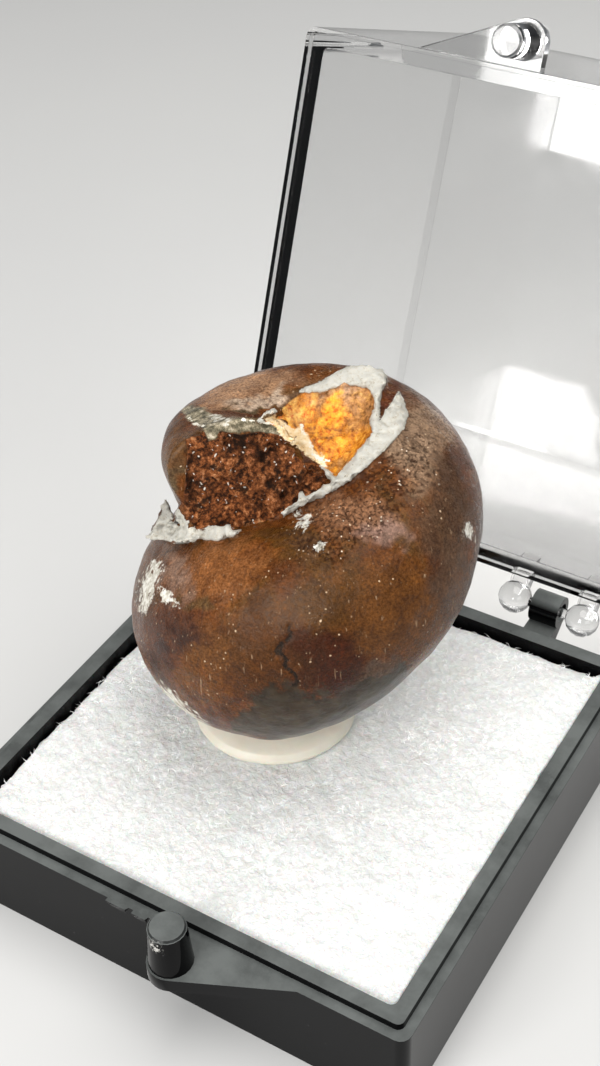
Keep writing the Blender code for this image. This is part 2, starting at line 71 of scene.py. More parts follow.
camera = bpy.data.objects.new("camera", bpy.data.cameras.new("camera"))
bpy.context.scene.collection.objects.link(camera)
axes = sight_axes(np.array([math.sin(HEADING) * math.cos(ELEVATION), -math.cos(HEADING) * math.cos(ELEVATION),
                            math.sin(ELEVATION)]))
camera.matrix_world = Matrix([[*row, place * MM] for row, place in zip(np.array(axes).T, EYE)] + [[0, 0, 0, 1]])
camera.data.sensor_fit = "VERTICAL"
camera.data.sensor_height = FRAME_HEIGHT
camera.data.lens = LENS
camera.data.clip_start = 0.001
bpy.context.scene.camera = camera


def new_material(name, roughness, **sockets):
    """A material with its Principled shader; the sockets that are the same all over are set here."""
    material = bpy.data.materials.new(name)
    material.use_nodes = True
    shader = material.node_tree.nodes["Principled BSDF"]
    shader.inputs["Roughness"].default_value = roughness
    for socket, value in sockets.items():
        shader.inputs[socket.replace("_", " ")].default_value = value
    return material, material.node_tree, shader


def put(tree, kind, inputs=None, **settings):
    """A shader node: its settings, and its inputs as plain values or as the sockets that feed them."""
    made = tree.nodes.new("ShaderNode" + kind)
    for key, value in settings.items():
        setattr(made, key, value)
    for key, value in (inputs or {}).items():
        feed(tree, value, made.inputs[key])
    return made


def feed(tree, value, socket):
    """Links a socket to another, or sets it to a plain value."""
    if isinstance(value, bpy.types.NodeSocket):
        tree.links.new(value, socket)
    else:
        socket.default_value = value


def object_place(tree, turn=(0, 0, 0), stretch=(1, 1, 1)):
    """Object coordinates, turned and stretched."""
    place = put(tree, "TexCoord").outputs["Object"]
    return put(tree, "Mapping", {"Vector": place, "Rotation": turn, "Scale": stretch}).outputs["Vector"]


def noise(tree, size, detail=4.0, harsh=0.6, place=None, warp=0.0):
    """Noise from 0 to 1 whose lumps are about that many millimetres across."""
    return put(tree, "TexNoise", {"Vector": place or object_place(tree), "Scale": 1 / (size * MM), "Detail": detail,
                                  "Roughness": harsh, "Distortion": warp}).outputs["Fac"]


def span(tree, value, low, high, out_low=0.0, out_high=1.0):
    """A value's stretch from low to high taken to 0 to 1, or to the given ends."""
    return put(tree, "MapRange", {"Value": value, "From Min": low, "From Max": high, "To Min": out_low,
                                  "To Max": out_high}).outputs["Result"]


def layer(tree, amount, under, over, blend="MIX"):
    """One colour laid over another by an amount from 0 to 1."""
    made = tree.nodes.new("ShaderNodeMix")
    made.data_type = "RGBA"
    made.blend_type = blend
    for index, value in ((0, amount), (6, under), (7, over)):
        if isinstance(value, tuple):
            value = (*value, 1)
        feed(tree, value, made.inputs[index])
    return made.outputs[2]


def new_piece(name, points, faces, material, body="base"):
    """A smooth mesh object from points in millimetres, riding on a body."""
    mesh = bpy.data.meshes.new(name)
    mesh.from_pydata(np.asarray(points) * MM, [], faces if isinstance(faces, list) else faces.tolist())
    mesh.update()
    mesh.shade_smooth()
    piece = bpy.data.objects.new(name, mesh)
    bpy.context.scene.collection.objects.link(piece)
    mesh.materials.append(material)
    if body:
        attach(piece, body)
    return piece


tabletop, tree, shader = new_material("pale_tabletop", 0.7)
feed(tree, layer(tree, span(tree, noise(tree, 60.0, 3.0), 0.3, 0.7), FLOOR_COLOUR, (0.60, 0.60, 0.595)),
     shader.inputs["Base Color"])
floor_corners = np.array([(-1, -1, 0), (1, -1, 0), (1, 1, 0), (-1, 1, 0)]) * FLOOR_HALF
floor = new_piece("floor", floor_corners, [[0, 1, 2, 3]], tabletop, body=None)


def softbox(name, place, aim, width, height, power, colour):
    """A rectangular studio light at a place, turned to face what it is aimed at."""
    lamp = bpy.data.lights.new(name, "AREA")
    lamp.shape = "RECTANGLE"
    lamp.size, lamp.size_y = width * MM, height * MM
    lamp.energy = power
    lamp.color = colour
    light = bpy.data.objects.new(name, lamp)
    bpy.context.scene.collection.objects.link(light)
    light.location = Vector(place) * MM
    light.rotation_euler = (Vector(place) - Vector(aim)).to_track_quat("Z", "Y").to_euler()


softbox("key", (70, 15, 300), (0, 5, 15), 300, 300, 0.93, (1.0, 0.985, 0.965))
softbox("front", (-40, -300, 190), (0, 0, 15), 220, 160, 1.20, (1.0, 0.99, 0.975))
softbox("side", (260, -160, 150), (0, 0, 15), 160, 120, 0.12, (0.96, 0.98, 1.0))
world = bpy.data.worlds.new("studio")
world.use_nodes = True
world.node_tree.nodes["Background"].inputs["Color"].default_value = (0.80, 0.83, 0.86, 1)
world.node_tree.nodes["Background"].inputs["Strength"].default_value = 0.20
bpy.context.scene.world = world
bpy.context.scene.view_settings.view_transform = "Standard"

# ---------------------------------------------------------------- the black tray
# A shallow square dish moulded in glossy black polystyrene, with a stepped rim all round, a latch post that stands
# on a small shelf in front and two hinge barrels behind, which the lid's knuckles turn on.
TRAY_EDGE = 0.10
# A small rough scar on the post's side.
SCAR_PLACE = (2.2, -18.75, 9.05)
SCAR_REACH, SCAR_HEART = 0.55, 0.30


def sums(tree, operation, a, b):
    """Two values added, taken away, multiplied or compared."""
    return put(tree, "Math", {0: a, 1: b}, operation=operation).outputs["Value"]


def product(tree, *values):
    """Values multiplied together."""
    whole = values[0]
    for value in values[1:]:
        whole = sums(tree, "MULTIPLY", whole, value)
    return whole


def bump(tree, height, depth):
    """Relief of that many millimetres from a height of 0 to 1."""
    return put(tree, "Bump", {"Height": height, "Distance": depth * MM}).outputs["Normal"]


black, tree, shader = new_material("black_polystyrene", 0.12, IOR=1.58, Specular_IOR_Level=0.08)
# Faces that look up are painted grey, patchy with noise, as a painted sheen of reflected light, and are rougher there;
# the walls keep their mould gloss.
facing_up = put(tree, "SeparateXYZ", {"Vector": put(tree, "TexCoord").outputs["Normal"]}).outputs["Z"]
upward = span(tree, facing_up, 0.55, 0.92)
up_facing_sheen = product(tree, upward, span(tree, noise(tree, 3.0, 6.0, 0.65), 0.30, 0.62, 0.55, 1.0))
dust = span(tree, noise(tree, 0.35, 2.0, 0.5), 0.74, 0.80)
walls = layer(tree, dust, (0.0015, 0.0015, 0.0018), (0.030, 0.030, 0.030))
off_scar = put(tree, "VectorMath", {0: object_place(tree), 1: tuple(MM * value for value in SCAR_PLACE)},
               operation="DISTANCE").outputs["Value"]
scar = product(tree, span(tree, off_scar, SCAR_REACH * MM, SCAR_HEART * MM),
               span(tree, noise(tree, 0.22, 4.0, 0.7), 0.50, 0.58))
# Painted sheen: the up-facing grey is laid over the black walls, then the post's scar over both.
casting = layer(tree, scar, layer(tree, up_facing_sheen, walls, (0.130, 0.140, 0.136)), (0.50, 0.49, 0.46))
feed(tree, casting, shader.inputs["Base Color"])
haze = span(tree, noise(tree, 5.0, 5.0, 0.6), 0.35, 0.75, 0.06, 0.14)
feed(tree, sums(tree, "ADD", haze, product(tree, up_facing_sheen, 0.28)), shader.inputs["Roughness"])
feed(tree, bump(tree, noise(tree, 7.0, 2.0, 0.4), 0.02), shader.inputs["Normal"])


def soft_edged(node, name, edge, body, material):
    """A moulding's body with its sharp edges rounded, as a mould leaves them.

    It is a copy of the node: loose triangles merged, flat runs made whole faces, then a bevel on each sharp edge.
    """
    work = bmesh.new()
    work.from_mesh(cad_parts[node].data)
    bmesh.ops.remove_doubles(work, verts=work.verts, dist=0.002 * MM)
    bmesh.ops.dissolve_limit(work, angle_limit=math.radians(2), verts=work.verts, edges=work.edges)
    mesh = bpy.data.meshes.new(name)
    work.to_mesh(mesh)
    work.free()
    mesh.shade_smooth()
    mesh.materials.clear()
    mesh.materials.append(material)
    piece = bpy.data.objects.new(name, mesh)
    bpy.context.scene.collection.objects.link(piece)
    rounding = piece.modifiers.new("rounding", "BEVEL")
    rounding.width = edge * MM
    rounding.segments = 3
    rounding.angle_limit = math.radians(32)
    flatness = piece.modifiers.new("flat faces", "WEIGHTED_NORMAL")
    flatness.mode = "FACE_AREA"
    flatness.keep_sharp = True
    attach(piece, body)
    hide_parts(node)
    return piece


tray = soft_edged("base_tray", "tray", TRAY_EDGE, "base", black)

# ---------------------------------------------------------------- the white pad
# A square of soft white polyester batting, cut by hand and pushed into the tray so that it fills it: frosty and
# beaded on top, with ragged, lower edges along the left and the back.
PAD_HALF = 14.45
PAD_LOW, PAD_TOP = 1.5, 6.8
PAD_STEPS = 200
PAD_SKIRT = 14
PAD_EDGE_FALL = 0.75
OCTAVE_TURN = np.array(Matrix.Rotation(0.9, 3, (0.4, 0.8, 0.45)))


def lattice_noise(points, size, seed):
    """Smooth noise from -1 to 1: random values at the corners of cubes of that size, blended by 3t^2 - 2t^3."""
    cell = np.floor(points / size).astype(np.int64)
    t = points / size - cell
    t = t * t * (3 - 2 * t)
    total = np.zeros(len(points))
    for corner in np.ndindex(2, 2, 2):
        key = (cell + corner) @ np.array([73856093, 19349663, 83492791]) + seed * 7919
        key = (key ^ (key >> 13)) * 1274126177 & 0xFFFFFFFF
        value = ((key ^ (key >> 16)) & 0xFFFF) / 0x7FFF - 1
        total += value * np.prod(np.where(corner, t, 1 - t), axis=1)
    return total


def fractal(points, size, seed, octaves=4, harsh=0.55):
    """Lattice noise summed over octaves, each turned, half the size and `harsh` times the height of the last."""
    total = 0
    for octave in range(octaves):
        points = points @ OCTAVE_TURN
        total = total + lattice_noise(points, size / 2 ** octave, seed + octave) * harsh ** octave
    return total


def pad_top(x, y):
    """Height of the pad, distance in from its edge, and how loose that edge is.

    The height is PAD_TOP less a fall of exp(-inset / 0.6), which is full along the left and the back.
    """
    inset = PAD_HALF - np.maximum(abs(x), abs(y))
    loose = np.where((-x > abs(y)) | (y > abs(x)), 1.0, 0.12)
    return PAD_TOP - PAD_EDGE_FALL * loose * np.exp(-inset / 0.6), inset, loose


def grid_faces(rows, columns, closed=True):
    """Quads of a grid of points; each row is a ring if closed."""
    row, column = np.meshgrid(np.arange(rows - 1), np.arange(columns if closed else columns - 1), indexing="ij")
    following = (column + 1) % columns
    return np.stack([row * columns + column, row * columns + following, (row + 1) * columns + following,
                     (row + 1) * columns + column], axis=-1).reshape(-1, 4)


def pad_surface():
    """Grid over (s, t) from -1 to 1: the middle is the top, the outer PAD_SKIRT steps run down the sides.

    x = PAD_HALF s, y = PAD_HALF t, z = PAD_TOP - fall of the edges; both are roughened by noise.
    """
    count = PAD_STEPS + 2 * PAD_SKIRT
    index = np.arange(count)
    flat = np.clip((index - PAD_SKIRT) / (PAD_STEPS - 1) * 2 - 1, -1, 1)
    over = np.maximum(PAD_SKIRT - index, index - (count - 1 - PAD_SKIRT)).clip(0) / PAD_SKIRT
    s, t = np.meshgrid(flat, flat, indexing="ij")
    down = np.maximum(*np.meshgrid(over, over, indexing="ij"))
    x, y = s * PAD_HALF, t * PAD_HALF
    top, inset, loose = pad_top(x, y)
    z = top - down * (PAD_TOP - PAD_EDGE_FALL - PAD_LOW)
    points = np.stack([x, y, z], axis=-1).reshape(-1, 3)
    rough = np.clip(1 - down.ravel() * 1.2, 0, 1)
    height = fractal(points, 2.0, 11, 5, 0.72) * 0.075
    side = np.clip(1 - inset.ravel() / 0.5, 0, 1)
    points[:, 2] += height * rough
    tug = np.stack([fractal(points, 0.9, 31, 3), fractal(points, 0.9, 41, 3)], axis=-1) * 0.16
    points[:, :2] += (tug - points[:, :2] / PAD_HALF * 0.22) * (side * (0.3 + 0.7 * loose.ravel()))[:, None]
    points[:, :2] = np.clip(points[:, :2], -PAD_HALF, PAD_HALF)
    points[:, 2] = np.clip(points[:, 2], PAD_LOW, PAD_TOP + 0.2)
    border = np.concatenate([index * count, (count - 1) * count + index[1:], index[-2::-1] * count + count - 1,
                             index[-2:0:-1]])
    return points, [*grid_faces(count, count, closed=False)[:, ::-1].tolist(), border[::-1].tolist()]


def cells(tree, size, place=None, feature="F1"):
    """Cells about that many millimetres across: the distance to the nearest middle, or to the nearest edge."""
    return put(tree, "TexVoronoi", {"Vector": place or object_place(tree), "Scale": 1 / (size * MM)},
               feature=feature).outputs["Distance"]


def pushed(tree, size, by):
    """Object coordinates pushed about by noise of that size, by up to that many millimetres."""
    shove = put(tree, "TexNoise", {"Vector": object_place(tree), "Scale": 1 / (size * MM), "Detail": 4.0})
    return put(tree, "VectorMath", {0: shove.outputs["Color"], 1: (by * MM,) * 3, 2: object_place(tree)},
               operation="MULTIPLY_ADD").outputs["Vector"]


batting, tree, shader = new_material("white_batting", 0.85, Subsurface_Weight=0.25, Subsurface_Scale=0.0006,
                                     Sheen_Weight=0.3)
wisps = noise(tree, 0.30, 4.0, 0.65, warp=0.5)
clumps = noise(tree, 2.6, 4.0, 0.6)
tone = layer(tree, span(tree, wisps, 0.3, 0.7), (0.64, 0.652, 0.64), (0.89, 0.90, 0.885))
tone = layer(tree, span(tree, clumps, 0.35, 0.65, 0.0, 0.35), tone, (0.72, 0.73, 0.715))
beads = span(tree, cells(tree, 0.55, pushed(tree, 0.6, 0.35)), 0.26, 0.12, 0.0, 0.75)
tone = layer(tree, beads, tone, (0.95, 0.96, 0.945))
feed(tree, tone, shader.inputs["Base Color"])
feed(tree, bump(tree, wisps, 0.11), shader.inputs["Normal"])
pad = new_piece("pad", *pad_surface(), batting)
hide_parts("foam_pad")

# ---------------------------------------------------------------- the putty
# A dot of off-white mineral putty that holds the snail up.  It is pressed flat between the pad and the snail's foot,
# so its edge bulges all round.
PUTTY_CENTRE = (-2.5, 1.2)
PUTTY_RADIUS = 5.08
PUTTY_LOW = 7.0
PUTTY_FOOT, PUTTY_DOME = 0.55, 0.95
PUTTY_COLUMNS = 144


def putty_surface():
    """Rings up the round edge, radius R (0.955 + 0.045 cos a), height F (1 + sin a) / 2, and over the dome to its top.

    R swells and shrinks a little with the angle, as squeezed putty does; the dome is R cos b wide, F + D sin b high.
    """
    turn = np.linspace(0, 2 * math.pi, PUTTY_COLUMNS, endpoint=False)
    edge, over = np.linspace(-math.pi / 2, 0.9, 12), np.linspace(0.22, math.pi / 2 * 0.97, 26)
    radius = np.concatenate([0.945 + 0.055 * np.cos(edge), 0.985 * np.cos(over)]) * PUTTY_RADIUS
    height = np.concatenate([PUTTY_FOOT * (1 + np.sin(edge)) / 2, PUTTY_FOOT * 0.9 + PUTTY_DOME * np.sin(over)])
    swell = 1 + 0.006 * np.sin(2 * turn + 0.7) + 0.005 * np.sin(3 * turn + 2.0) + 0.003 * np.sin(7 * turn)
    ring = radius[:, None] * swell[None, :]
    points = np.stack([PUTTY_CENTRE[0] + ring * np.cos(turn), PUTTY_CENTRE[1] + ring * np.sin(turn),
                       np.repeat(PUTTY_LOW + height[:, None], PUTTY_COLUMNS, axis=1)], axis=-1).reshape(-1, 3)
    points += fractal(points, 1.8, 71, 3)[:, None] * 0.03 * np.array([1, 1, 0.6])
    points[:, 2] = points[:, 2].clip(PUTTY_LOW, None)
    rows = len(radius)
    faces = grid_faces(rows, PUTTY_COLUMNS).tolist()
    faces.append(list(range(PUTTY_COLUMNS))[::-1])
    faces.append(list(range((rows - 1) * PUTTY_COLUMNS, rows * PUTTY_COLUMNS)))
    return points, faces


putty_white, tree, shader = new_material("mineral_putty", 0.42, Subsurface_Weight=0.2, Subsurface_Scale=0.0012)
feed(tree, layer(tree, span(tree, noise(tree, 2.5, 4.0), 0.3, 0.7), (0.70, 0.66, 0.55), (0.78, 0.745, 0.64)),
     shader.inputs["Base Color"])
feed(tree, bump(tree, noise(tree, 0.9, 4.0, 0.5), 0.035), shader.inputs["Normal"])
putty = new_piece("putty_dot", *putty_surface(), putty_white)
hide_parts("putty")

# ---------------------------------------------------------------- the pad's loose fibres
# Short ends of clear polyester fibre that stand up from the cut face of the batting, bent over at random.  They are
# held by the batting, and none lies under the putty.
FIBRES = 8000
FIBRE_REACH = (0.3, 0.9)
FIBRE_THICKNESS = (0.016, 0.030)


def loose_fibres():
    """Short bent fibres on the pad: start + reach (along t + droop t^2), three sided, tapering from t = 0 to a point.

    The starts, headings and reaches are drawn evenly with a fixed seed; none lies under the putty or past the pad.
    """
    draw = np.random.default_rng(4)
    start = draw.uniform(-PAD_HALF, PAD_HALF, (FIBRES, 2))
    heading, climb = draw.uniform(0, 2 * math.pi, FIBRES), draw.uniform(0.05, 0.5, FIBRES)
    reach = draw.uniform(*FIBRE_REACH, FIBRES)
    along = np.stack([np.cos(heading) * np.cos(climb), np.sin(heading) * np.cos(climb), np.sin(climb)], axis=-1)
    along *= reach[:, None]
    across = np.stack([-np.sin(heading), np.cos(heading), np.zeros(FIBRES)], axis=-1)
    root = np.column_stack([start, pad_top(*start.T)[0] - 0.1])
    tip = root + along - np.stack([np.zeros(FIBRES), np.zeros(FIBRES), along[:, 2] * 0.45], axis=-1)
    bend = across * draw.uniform(-0.25, 0.25, FIBRES)[:, None] * reach[:, None]
    middle = root + along * 0.5 + bend
    fits = (abs(tip[:, :2] + bend[:, :2]).max(axis=1) < PAD_HALF - 0.1) & (abs(start).max(axis=1) < PAD_HALF - 0.3)
    for point in (root, tip):
        fits &= np.hypot(point[:, 0] - PUTTY_CENTRE[0], point[:, 1] - PUTTY_CENTRE[1]) > PUTTY_RADIUS + 0.5
    root, middle, tip, across = root[fits], middle[fits], tip[fits], across[fits]
    thick = draw.uniform(*FIBRE_THICKNESS, len(root))[:, None]
    ring = [(across * math.cos(turn) + np.array([0, 0, 1.0]) * math.sin(turn)) * thick
            for turn in np.array([0.5, 2.6, 4.7])]
    points = np.stack([root + side for side in ring] + [middle + side * 0.85 for side in ring] + [tip], axis=1)
    triangles = np.array([(0, 1, 3), (1, 4, 3), (1, 2, 4), (2, 5, 4), (2, 0, 5), (0, 3, 5), (3, 4, 6), (4, 5, 6),
                          (5, 3, 6), (0, 2, 1)])
    faces = (np.arange(len(root))[:, None, None] * 7 + triangles).reshape(-1, 3)
    return points.reshape(-1, 3), faces


def ramp(tree, value, *stops):
    """A colour ramp: each stop is a place from 0 to 1 and a colour."""
    made = put(tree, "ValToRGB", {"Fac": value})
    bar = made.color_ramp.elements
    while len(bar) < len(stops):
        bar.new(0.5)
    for stop, (place, colour) in zip(bar, stops):
        stop.position = place
        stop.color = (*colour, 1)
    return made.outputs["Color"]


polyester, tree, shader = new_material("clear_fibre", 0.5, IOR=1.3, Transmission_Weight=0.35)
feed(tree, ramp(tree, noise(tree, 1.5, 2.0), (0.3, (0.95, 0.96, 0.95)), (0.7, (1.0, 1.0, 0.99))),
     shader.inputs["Base Color"])
fibres = new_piece("pad_fibres", *loose_fibres(), polyester)
# Hairs this fine and clear let the light past, and lay no shadow on the batting.
fibres.visible_shadow = False

# ---------------------------------------------------------------- the snail
# A natural cast of a coiled shell in iron-brown stone: a helicospiral of about one and a third whorls, broken across
# its small end, the hollow beside the break half filled with calcite, and crusts of white shell on the seam.  It is
# one stone, polished on its outer whorl and set foot down on the putty.
WHORLS = np.array([  # one row a third of a turn: from the axis, down it, half width across, half width along
    (3.5, -4.9, 3.0, 4.1), (4.2, -2.8, 4.2, 4.8), (5.0, -0.1, 4.9, 5.5),
    (6.2, 3.5, 5.8, 6.8), (6.0, 6.4, 6.6, 6.7), (5.2, 6.4, 5.8, 5.6)])
ROW_TURN = math.radians(120)
SNAIL_CENTRE = np.array([-0.6, 3.5, 21.5])
SPIRAL_AXIS = unit(np.array([-0.25, -0.06, 0.965]))
START_TURN = math.radians(9.6)
SECTION_LEAN = math.radians(-4)
BREAK_SQUARENESS = 3.2
BREAK_SLOPE = (0.80, 0.17)
COIL_ROWS, DOME_ROWS = 4.1, 0.3
COIL_RINGS, COIL_COLUMNS, BREAK_RINGS = 170, 150, 14
VOXEL = 0.162

CALCITE_OUTLINE = np.array([(-2.6, 8.0), (-1.5, 9.0), (-0.3, 9.7), (1.4, 10.2), (2.8, 10.5), (4.3, 10.4), (5.2, 9.6),
                            (5.2, 8.2), (4.6, 6.8), (3.8, 5.6), (2.8, 4.4), (1.6, 4.2), (0.4, 5.0), (-0.6, 6.2),
                            (-1.6, 7.2)])
CALCITE_MIDDLE = np.array([1.6, 7.7])
CALCITE_RINGS, CALCITE_THICKNESS = 24, 3.0
# Crusts of shell, as seen from the eye: outline, where beside each point the skin is read, then how proud of the skin,
# how deep under it and how ragged, in millimetres.  Skin that drops by more than SKIN_DROP has fallen away.
SKIN_DROP = 0.9
CRUSTS = {
    "shard": (((6.0, 9.8), (6.3, 9.05), (6.5, 8.4), (6.25, 7.6), (5.75, 7.05), (5.25, 6.45), (4.55, 5.8), (3.9, 5.2),
               (3.25, 4.7), (2.65, 4.25), (2.05, 3.9), (1.5, 3.6), (0.9, 3.35), (0.3, 3.05), (-0.3, 2.7), (-0.75, 2.45),
               (-0.95, 2.65), (-0.4, 3.05), (0.05, 3.4), (0.65, 3.7), (1.1, 3.95), (1.7, 4.25), (2.3, 4.6), (2.7, 5.0),
               (3.1, 5.5), (3.6, 6.1), (4.05, 6.7), (4.55, 7.4), (5.0, 8.1), (5.35, 8.7), (5.7, 9.15)),
              (0.4, -0.4), 0.22, 1.2, 0.08),
    "crest": (((0.2, 9.8), (1.3, 10.3), (2.3, 10.9), (3.1, 11.25), (4.0, 11.3), (4.95, 11.05), (5.3, 10.7),
               (5.25, 10.2), (4.95, 9.7), (4.9, 8.9), (4.75, 7.8), (4.4, 7.5), (4.35, 8.1), (4.55, 8.9), (4.5, 9.6),
               (4.2, 10.0), (3.3, 10.2), (2.8, 10.4), (2.35, 10.1), (1.55, 9.9), (0.6, 9.75)),
              (0.0, -0.5), 0.35, 0.9, 0.09),
    "splinter": (((0.0, 3.2), (0.15, 3.8), (0.3, 4.05), (0.42, 3.7), (0.6, 3.6), (0.8, 3.35)), (0.4, -0.6), 0.35, 0.8,
                 0.03),
    "blade": (((-2.4, 8.0), (-1.9, 8.5), (-1.25, 8.8), (-1.15, 8.6), (-1.7, 8.1), (-2.1, 7.9)), (-0.3, 0.3), 0.12, 0.5,
              0.03),
    "streak": (((1.5, 5.3), (1.75, 5.15), (2.55, 4.5), (2.4, 4.35), (1.85, 4.75)), (-0.4, 0.0), 0.2, 0.8, 0.03),
    "crystals": (((-7.75, 3.5), (-7.9, 2.65), (-8.3, 2.0), (-8.8, 1.2), (-8.0, 1.1), (-6.0, 1.1), (-5.8, 1.4),
                  (-5.7, 1.9), (-6.05, 2.3), (-6.25, 2.6), (-6.6, 2.4), (-7.0, 2.85), (-7.2, 2.55), (-7.5, 2.8),
                  (-7.6, 3.2)), (0.25, -0.9), -0.15, 1.2, 0.12),
    "crumble": (((-8.6, 1.3), (-8.0, 1.85), (-7.6, 2.05), (-6.9, 1.85), (-5.9, 2.0), (-5.75, 1.5), (-6.0, 1.05),
                 (-7.0, 0.95), (-8.0, 1.1)), (0.2, -0.7), 0.05, 1.0, 0.13),
    "flake": (((-5.3, 1.9), (-4.0, 1.95), (-3.85, 1.65), (-4.85, 1.5), (-5.35, 1.7)), (0.2, -0.7), 0.05, 0.7, 0.04),
    "tongue": (((-5.8, 1.5), (-5.3, 1.6), (-4.8, 1.45), (-3.9, 1.5), (-3.3, 1.6), (-3.8, 1.35), (-4.6, 1.15),
                (-5.4, 1.15), (-5.8, 1.2)), (0.2, -0.5), 0.03, 0.7, 0.03),
}


def between_rows(place):
    """The four sizes at places along the rows, a Catmull-Rom curve through them."""
    rows = np.vstack([2 * WHORLS[0] - WHORLS[1], WHORLS, 2 * WHORLS[-1] - WHORLS[-2]])
    index = np.clip(np.floor(place).astype(int), 0, len(WHORLS) - 2)
    f = (place - index)[..., None]
    a, b, c, d = (rows[index + k] for k in range(4))
    return 0.5 * (2 * b + (c - a) * f + (2 * a - 5 * b + 4 * c - d) * f ** 2 + (3 * b - a - 3 * c + d) * f ** 3)


def coil_point(place, around, shrink=1.0):
    """Points of the coil: centre + outward (radius + across) + axis (along - down) + onward lean of the break.

    The section is a superellipse with half widths across and along; its power falls from BREAK_SQUARENESS at the
    break to 2, an ellipse, two rows on.
    """
    place, around, shrink = np.broadcast_arrays(place, around, shrink)
    radius, down, half_across, half_along = np.moveaxis(between_rows(place), -1, 0)
    power = 2 + (BREAK_SQUARENESS - 2) * np.maximum(0, 1 - place / 2)
    c, s = np.cos(around), np.sin(around)
    fit = shrink * (abs(c) ** power + abs(s) ** power) ** (-1 / power)
    across, along = half_across * c * fit, half_along * s * fit
    across, along = (across * math.cos(SECTION_LEAN) - along * math.sin(SECTION_LEAN),
                     across * math.sin(SECTION_LEAN) + along * math.cos(SECTION_LEAN))
    forward_axis = np.array([0.0, -1.0, 0.0])
    front = unit(forward_axis - SPIRAL_AXIS * (SPIRAL_AXIS @ forward_axis))
    left = np.cross(front, SPIRAL_AXIS)
    turn = (START_TURN + place * ROW_TURN)[..., None]
    outward = front * np.cos(turn) + left * np.sin(turn)
    onward = left * np.cos(turn) - front * np.sin(turn)
    lean = np.maximum(0, 1 - place / 1.2) ** 2
    forward = (lean * (BREAK_SLOPE[0] * across + BREAK_SLOPE[1] * along))[..., None]
    return (SNAIL_CENTRE + outward * (radius + across)[..., None] + SPIRAL_AXIS * (along - down)[..., None]
            + onward * forward)


def coil_surface():
    """Rings over (place, around): the break's own rings, the whorls, and the dome of the large end."""
    dome = np.array([0.25, 0.5, 0.75, 1.0, 1.2, 1.4])
    place = np.concatenate([np.zeros(BREAK_RINGS - 1), np.linspace(0, COIL_ROWS, COIL_RINGS),
                            COIL_ROWS + DOME_ROWS * np.sin(dome)])
    shrink = np.concatenate([np.arange(1, BREAK_RINGS) / BREAK_RINGS, np.ones(COIL_RINGS), np.cos(dome)])
    around = np.linspace(0, 2 * math.pi, COIL_COLUMNS, endpoint=False)
    points = coil_point(place[:, None], around[None, :], shrink[:, None])
    rows = len(place)
    faces = grid_faces(rows, COIL_COLUMNS).tolist()
    faces += [list(range(COIL_COLUMNS))[::-1], list(range((rows - 1) * COIL_COLUMNS, rows * COIL_COLUMNS))]
    return points.reshape(-1, 3), faces


TARGET = np.array([-1.0, 2.0, 19.6])
RIGHT, UP, TOWARDS = sight_axes(unit(EYE - TARGET))


def laid_out(points):
    """Right, up and depth of points as seen from the eye.

    Right and up are where the sight ray crosses the plane through the target; depth is how far the point is off it.
    """
    ray = points - EYE
    near = ray * (((TARGET - EYE) @ TOWARDS) / (ray @ TOWARDS))[:, None] + EYE - TARGET
    return near @ RIGHT, near @ UP, (points - TARGET) @ TOWARDS


def at_depth(right, up, depth):
    """The point on the sight ray through (right, up) that lies this far in front of the target's plane."""
    ray = TARGET + right[:, None] * RIGHT + up[:, None] * UP - EYE
    return EYE + ray * (((TARGET - EYE) @ TOWARDS + depth) / (ray @ TOWARDS))[:, None]


COIL_POINTS, COIL_FACES = coil_surface()
COIL_LAYOUT = np.stack(laid_out(COIL_POINTS), axis=-1)


def skin_depth(right, up, reach=0.45):
    """Depth of the coil's skin there: the nearest to the eye of its points within reach."""
    away = (COIL_LAYOUT[None, :, 0] - right[:, None]) ** 2 + (COIL_LAYOUT[None, :, 1] - up[:, None]) ** 2
    depth = np.where(away < reach ** 2, COIL_LAYOUT[None, :, 2], -99.0).max(axis=1)
    return np.where(depth < -90, depth[depth > -90].min(), depth)


def ragged(outline, rag, seed, step=0.09):
    """An outline cut into short steps, each point pushed out or in by noise times the rag."""
    outline = np.asarray(outline, float)
    following = np.roll(outline, -1, axis=0)
    pieces = []
    for start, end in zip(outline, following):
        count = max(2, int(np.linalg.norm(end - start) / step))
        pieces.append(start + (end - start) * (np.arange(count) / count)[:, None])
    points = np.vstack(pieces)
    along = np.roll(points, -1, axis=0) - np.roll(points, 1, axis=0)
    outward = np.stack([along[:, 1], -along[:, 0]], axis=-1) / np.linalg.norm(along, axis=1)[:, None]
    flat = np.column_stack([points, np.full(len(points), seed * 3.7)])
    return points + outward * (fractal(flat, 0.5, seed, 3, 0.7) * rag)[:, None]


def slab(right, up, top, bottom):
    """A closed solid between an outline at its top depths and the same outline at its bottom depths."""
    count = len(right)
    points = np.vstack([at_depth(right, up, top), at_depth(right, up, bottom)])
    n = np.roll(np.arange(count), -1)
    sides = np.stack([np.arange(count), n, n + count, np.arange(count) + count], axis=-1).tolist()
    return points, [*sides, list(range(count))[::-1], list(range(count, 2 * count))]


def crust(outline, read_at, proud, sunk, rag, seed):
    """A thin slab on the skin: where the skin falls away under a point, it is read beside the point instead."""
    edge = ragged(outline, rag, seed)
    here = skin_depth(edge[:, 0], edge[:, 1])
    beside = skin_depth(edge[:, 0] + read_at[0], edge[:, 1] + read_at[1])
    depth = np.where(here > beside - SKIN_DROP, here, beside)
    return slab(edge[:, 0], edge[:, 1], depth + proud, depth - sunk)


def calcite_depth(right, up):
    """The calcite's face rises from the crest down to the seam, and is hollowed in its middle."""
    middle = np.hypot((right - 1.5) / 3.2, (up - 7.6) / 2.8)
    return 3.3 - 0.42 * (up - 8.0) + 0.05 * right - 0.5 * np.maximum(0, 1 - middle ** 2)


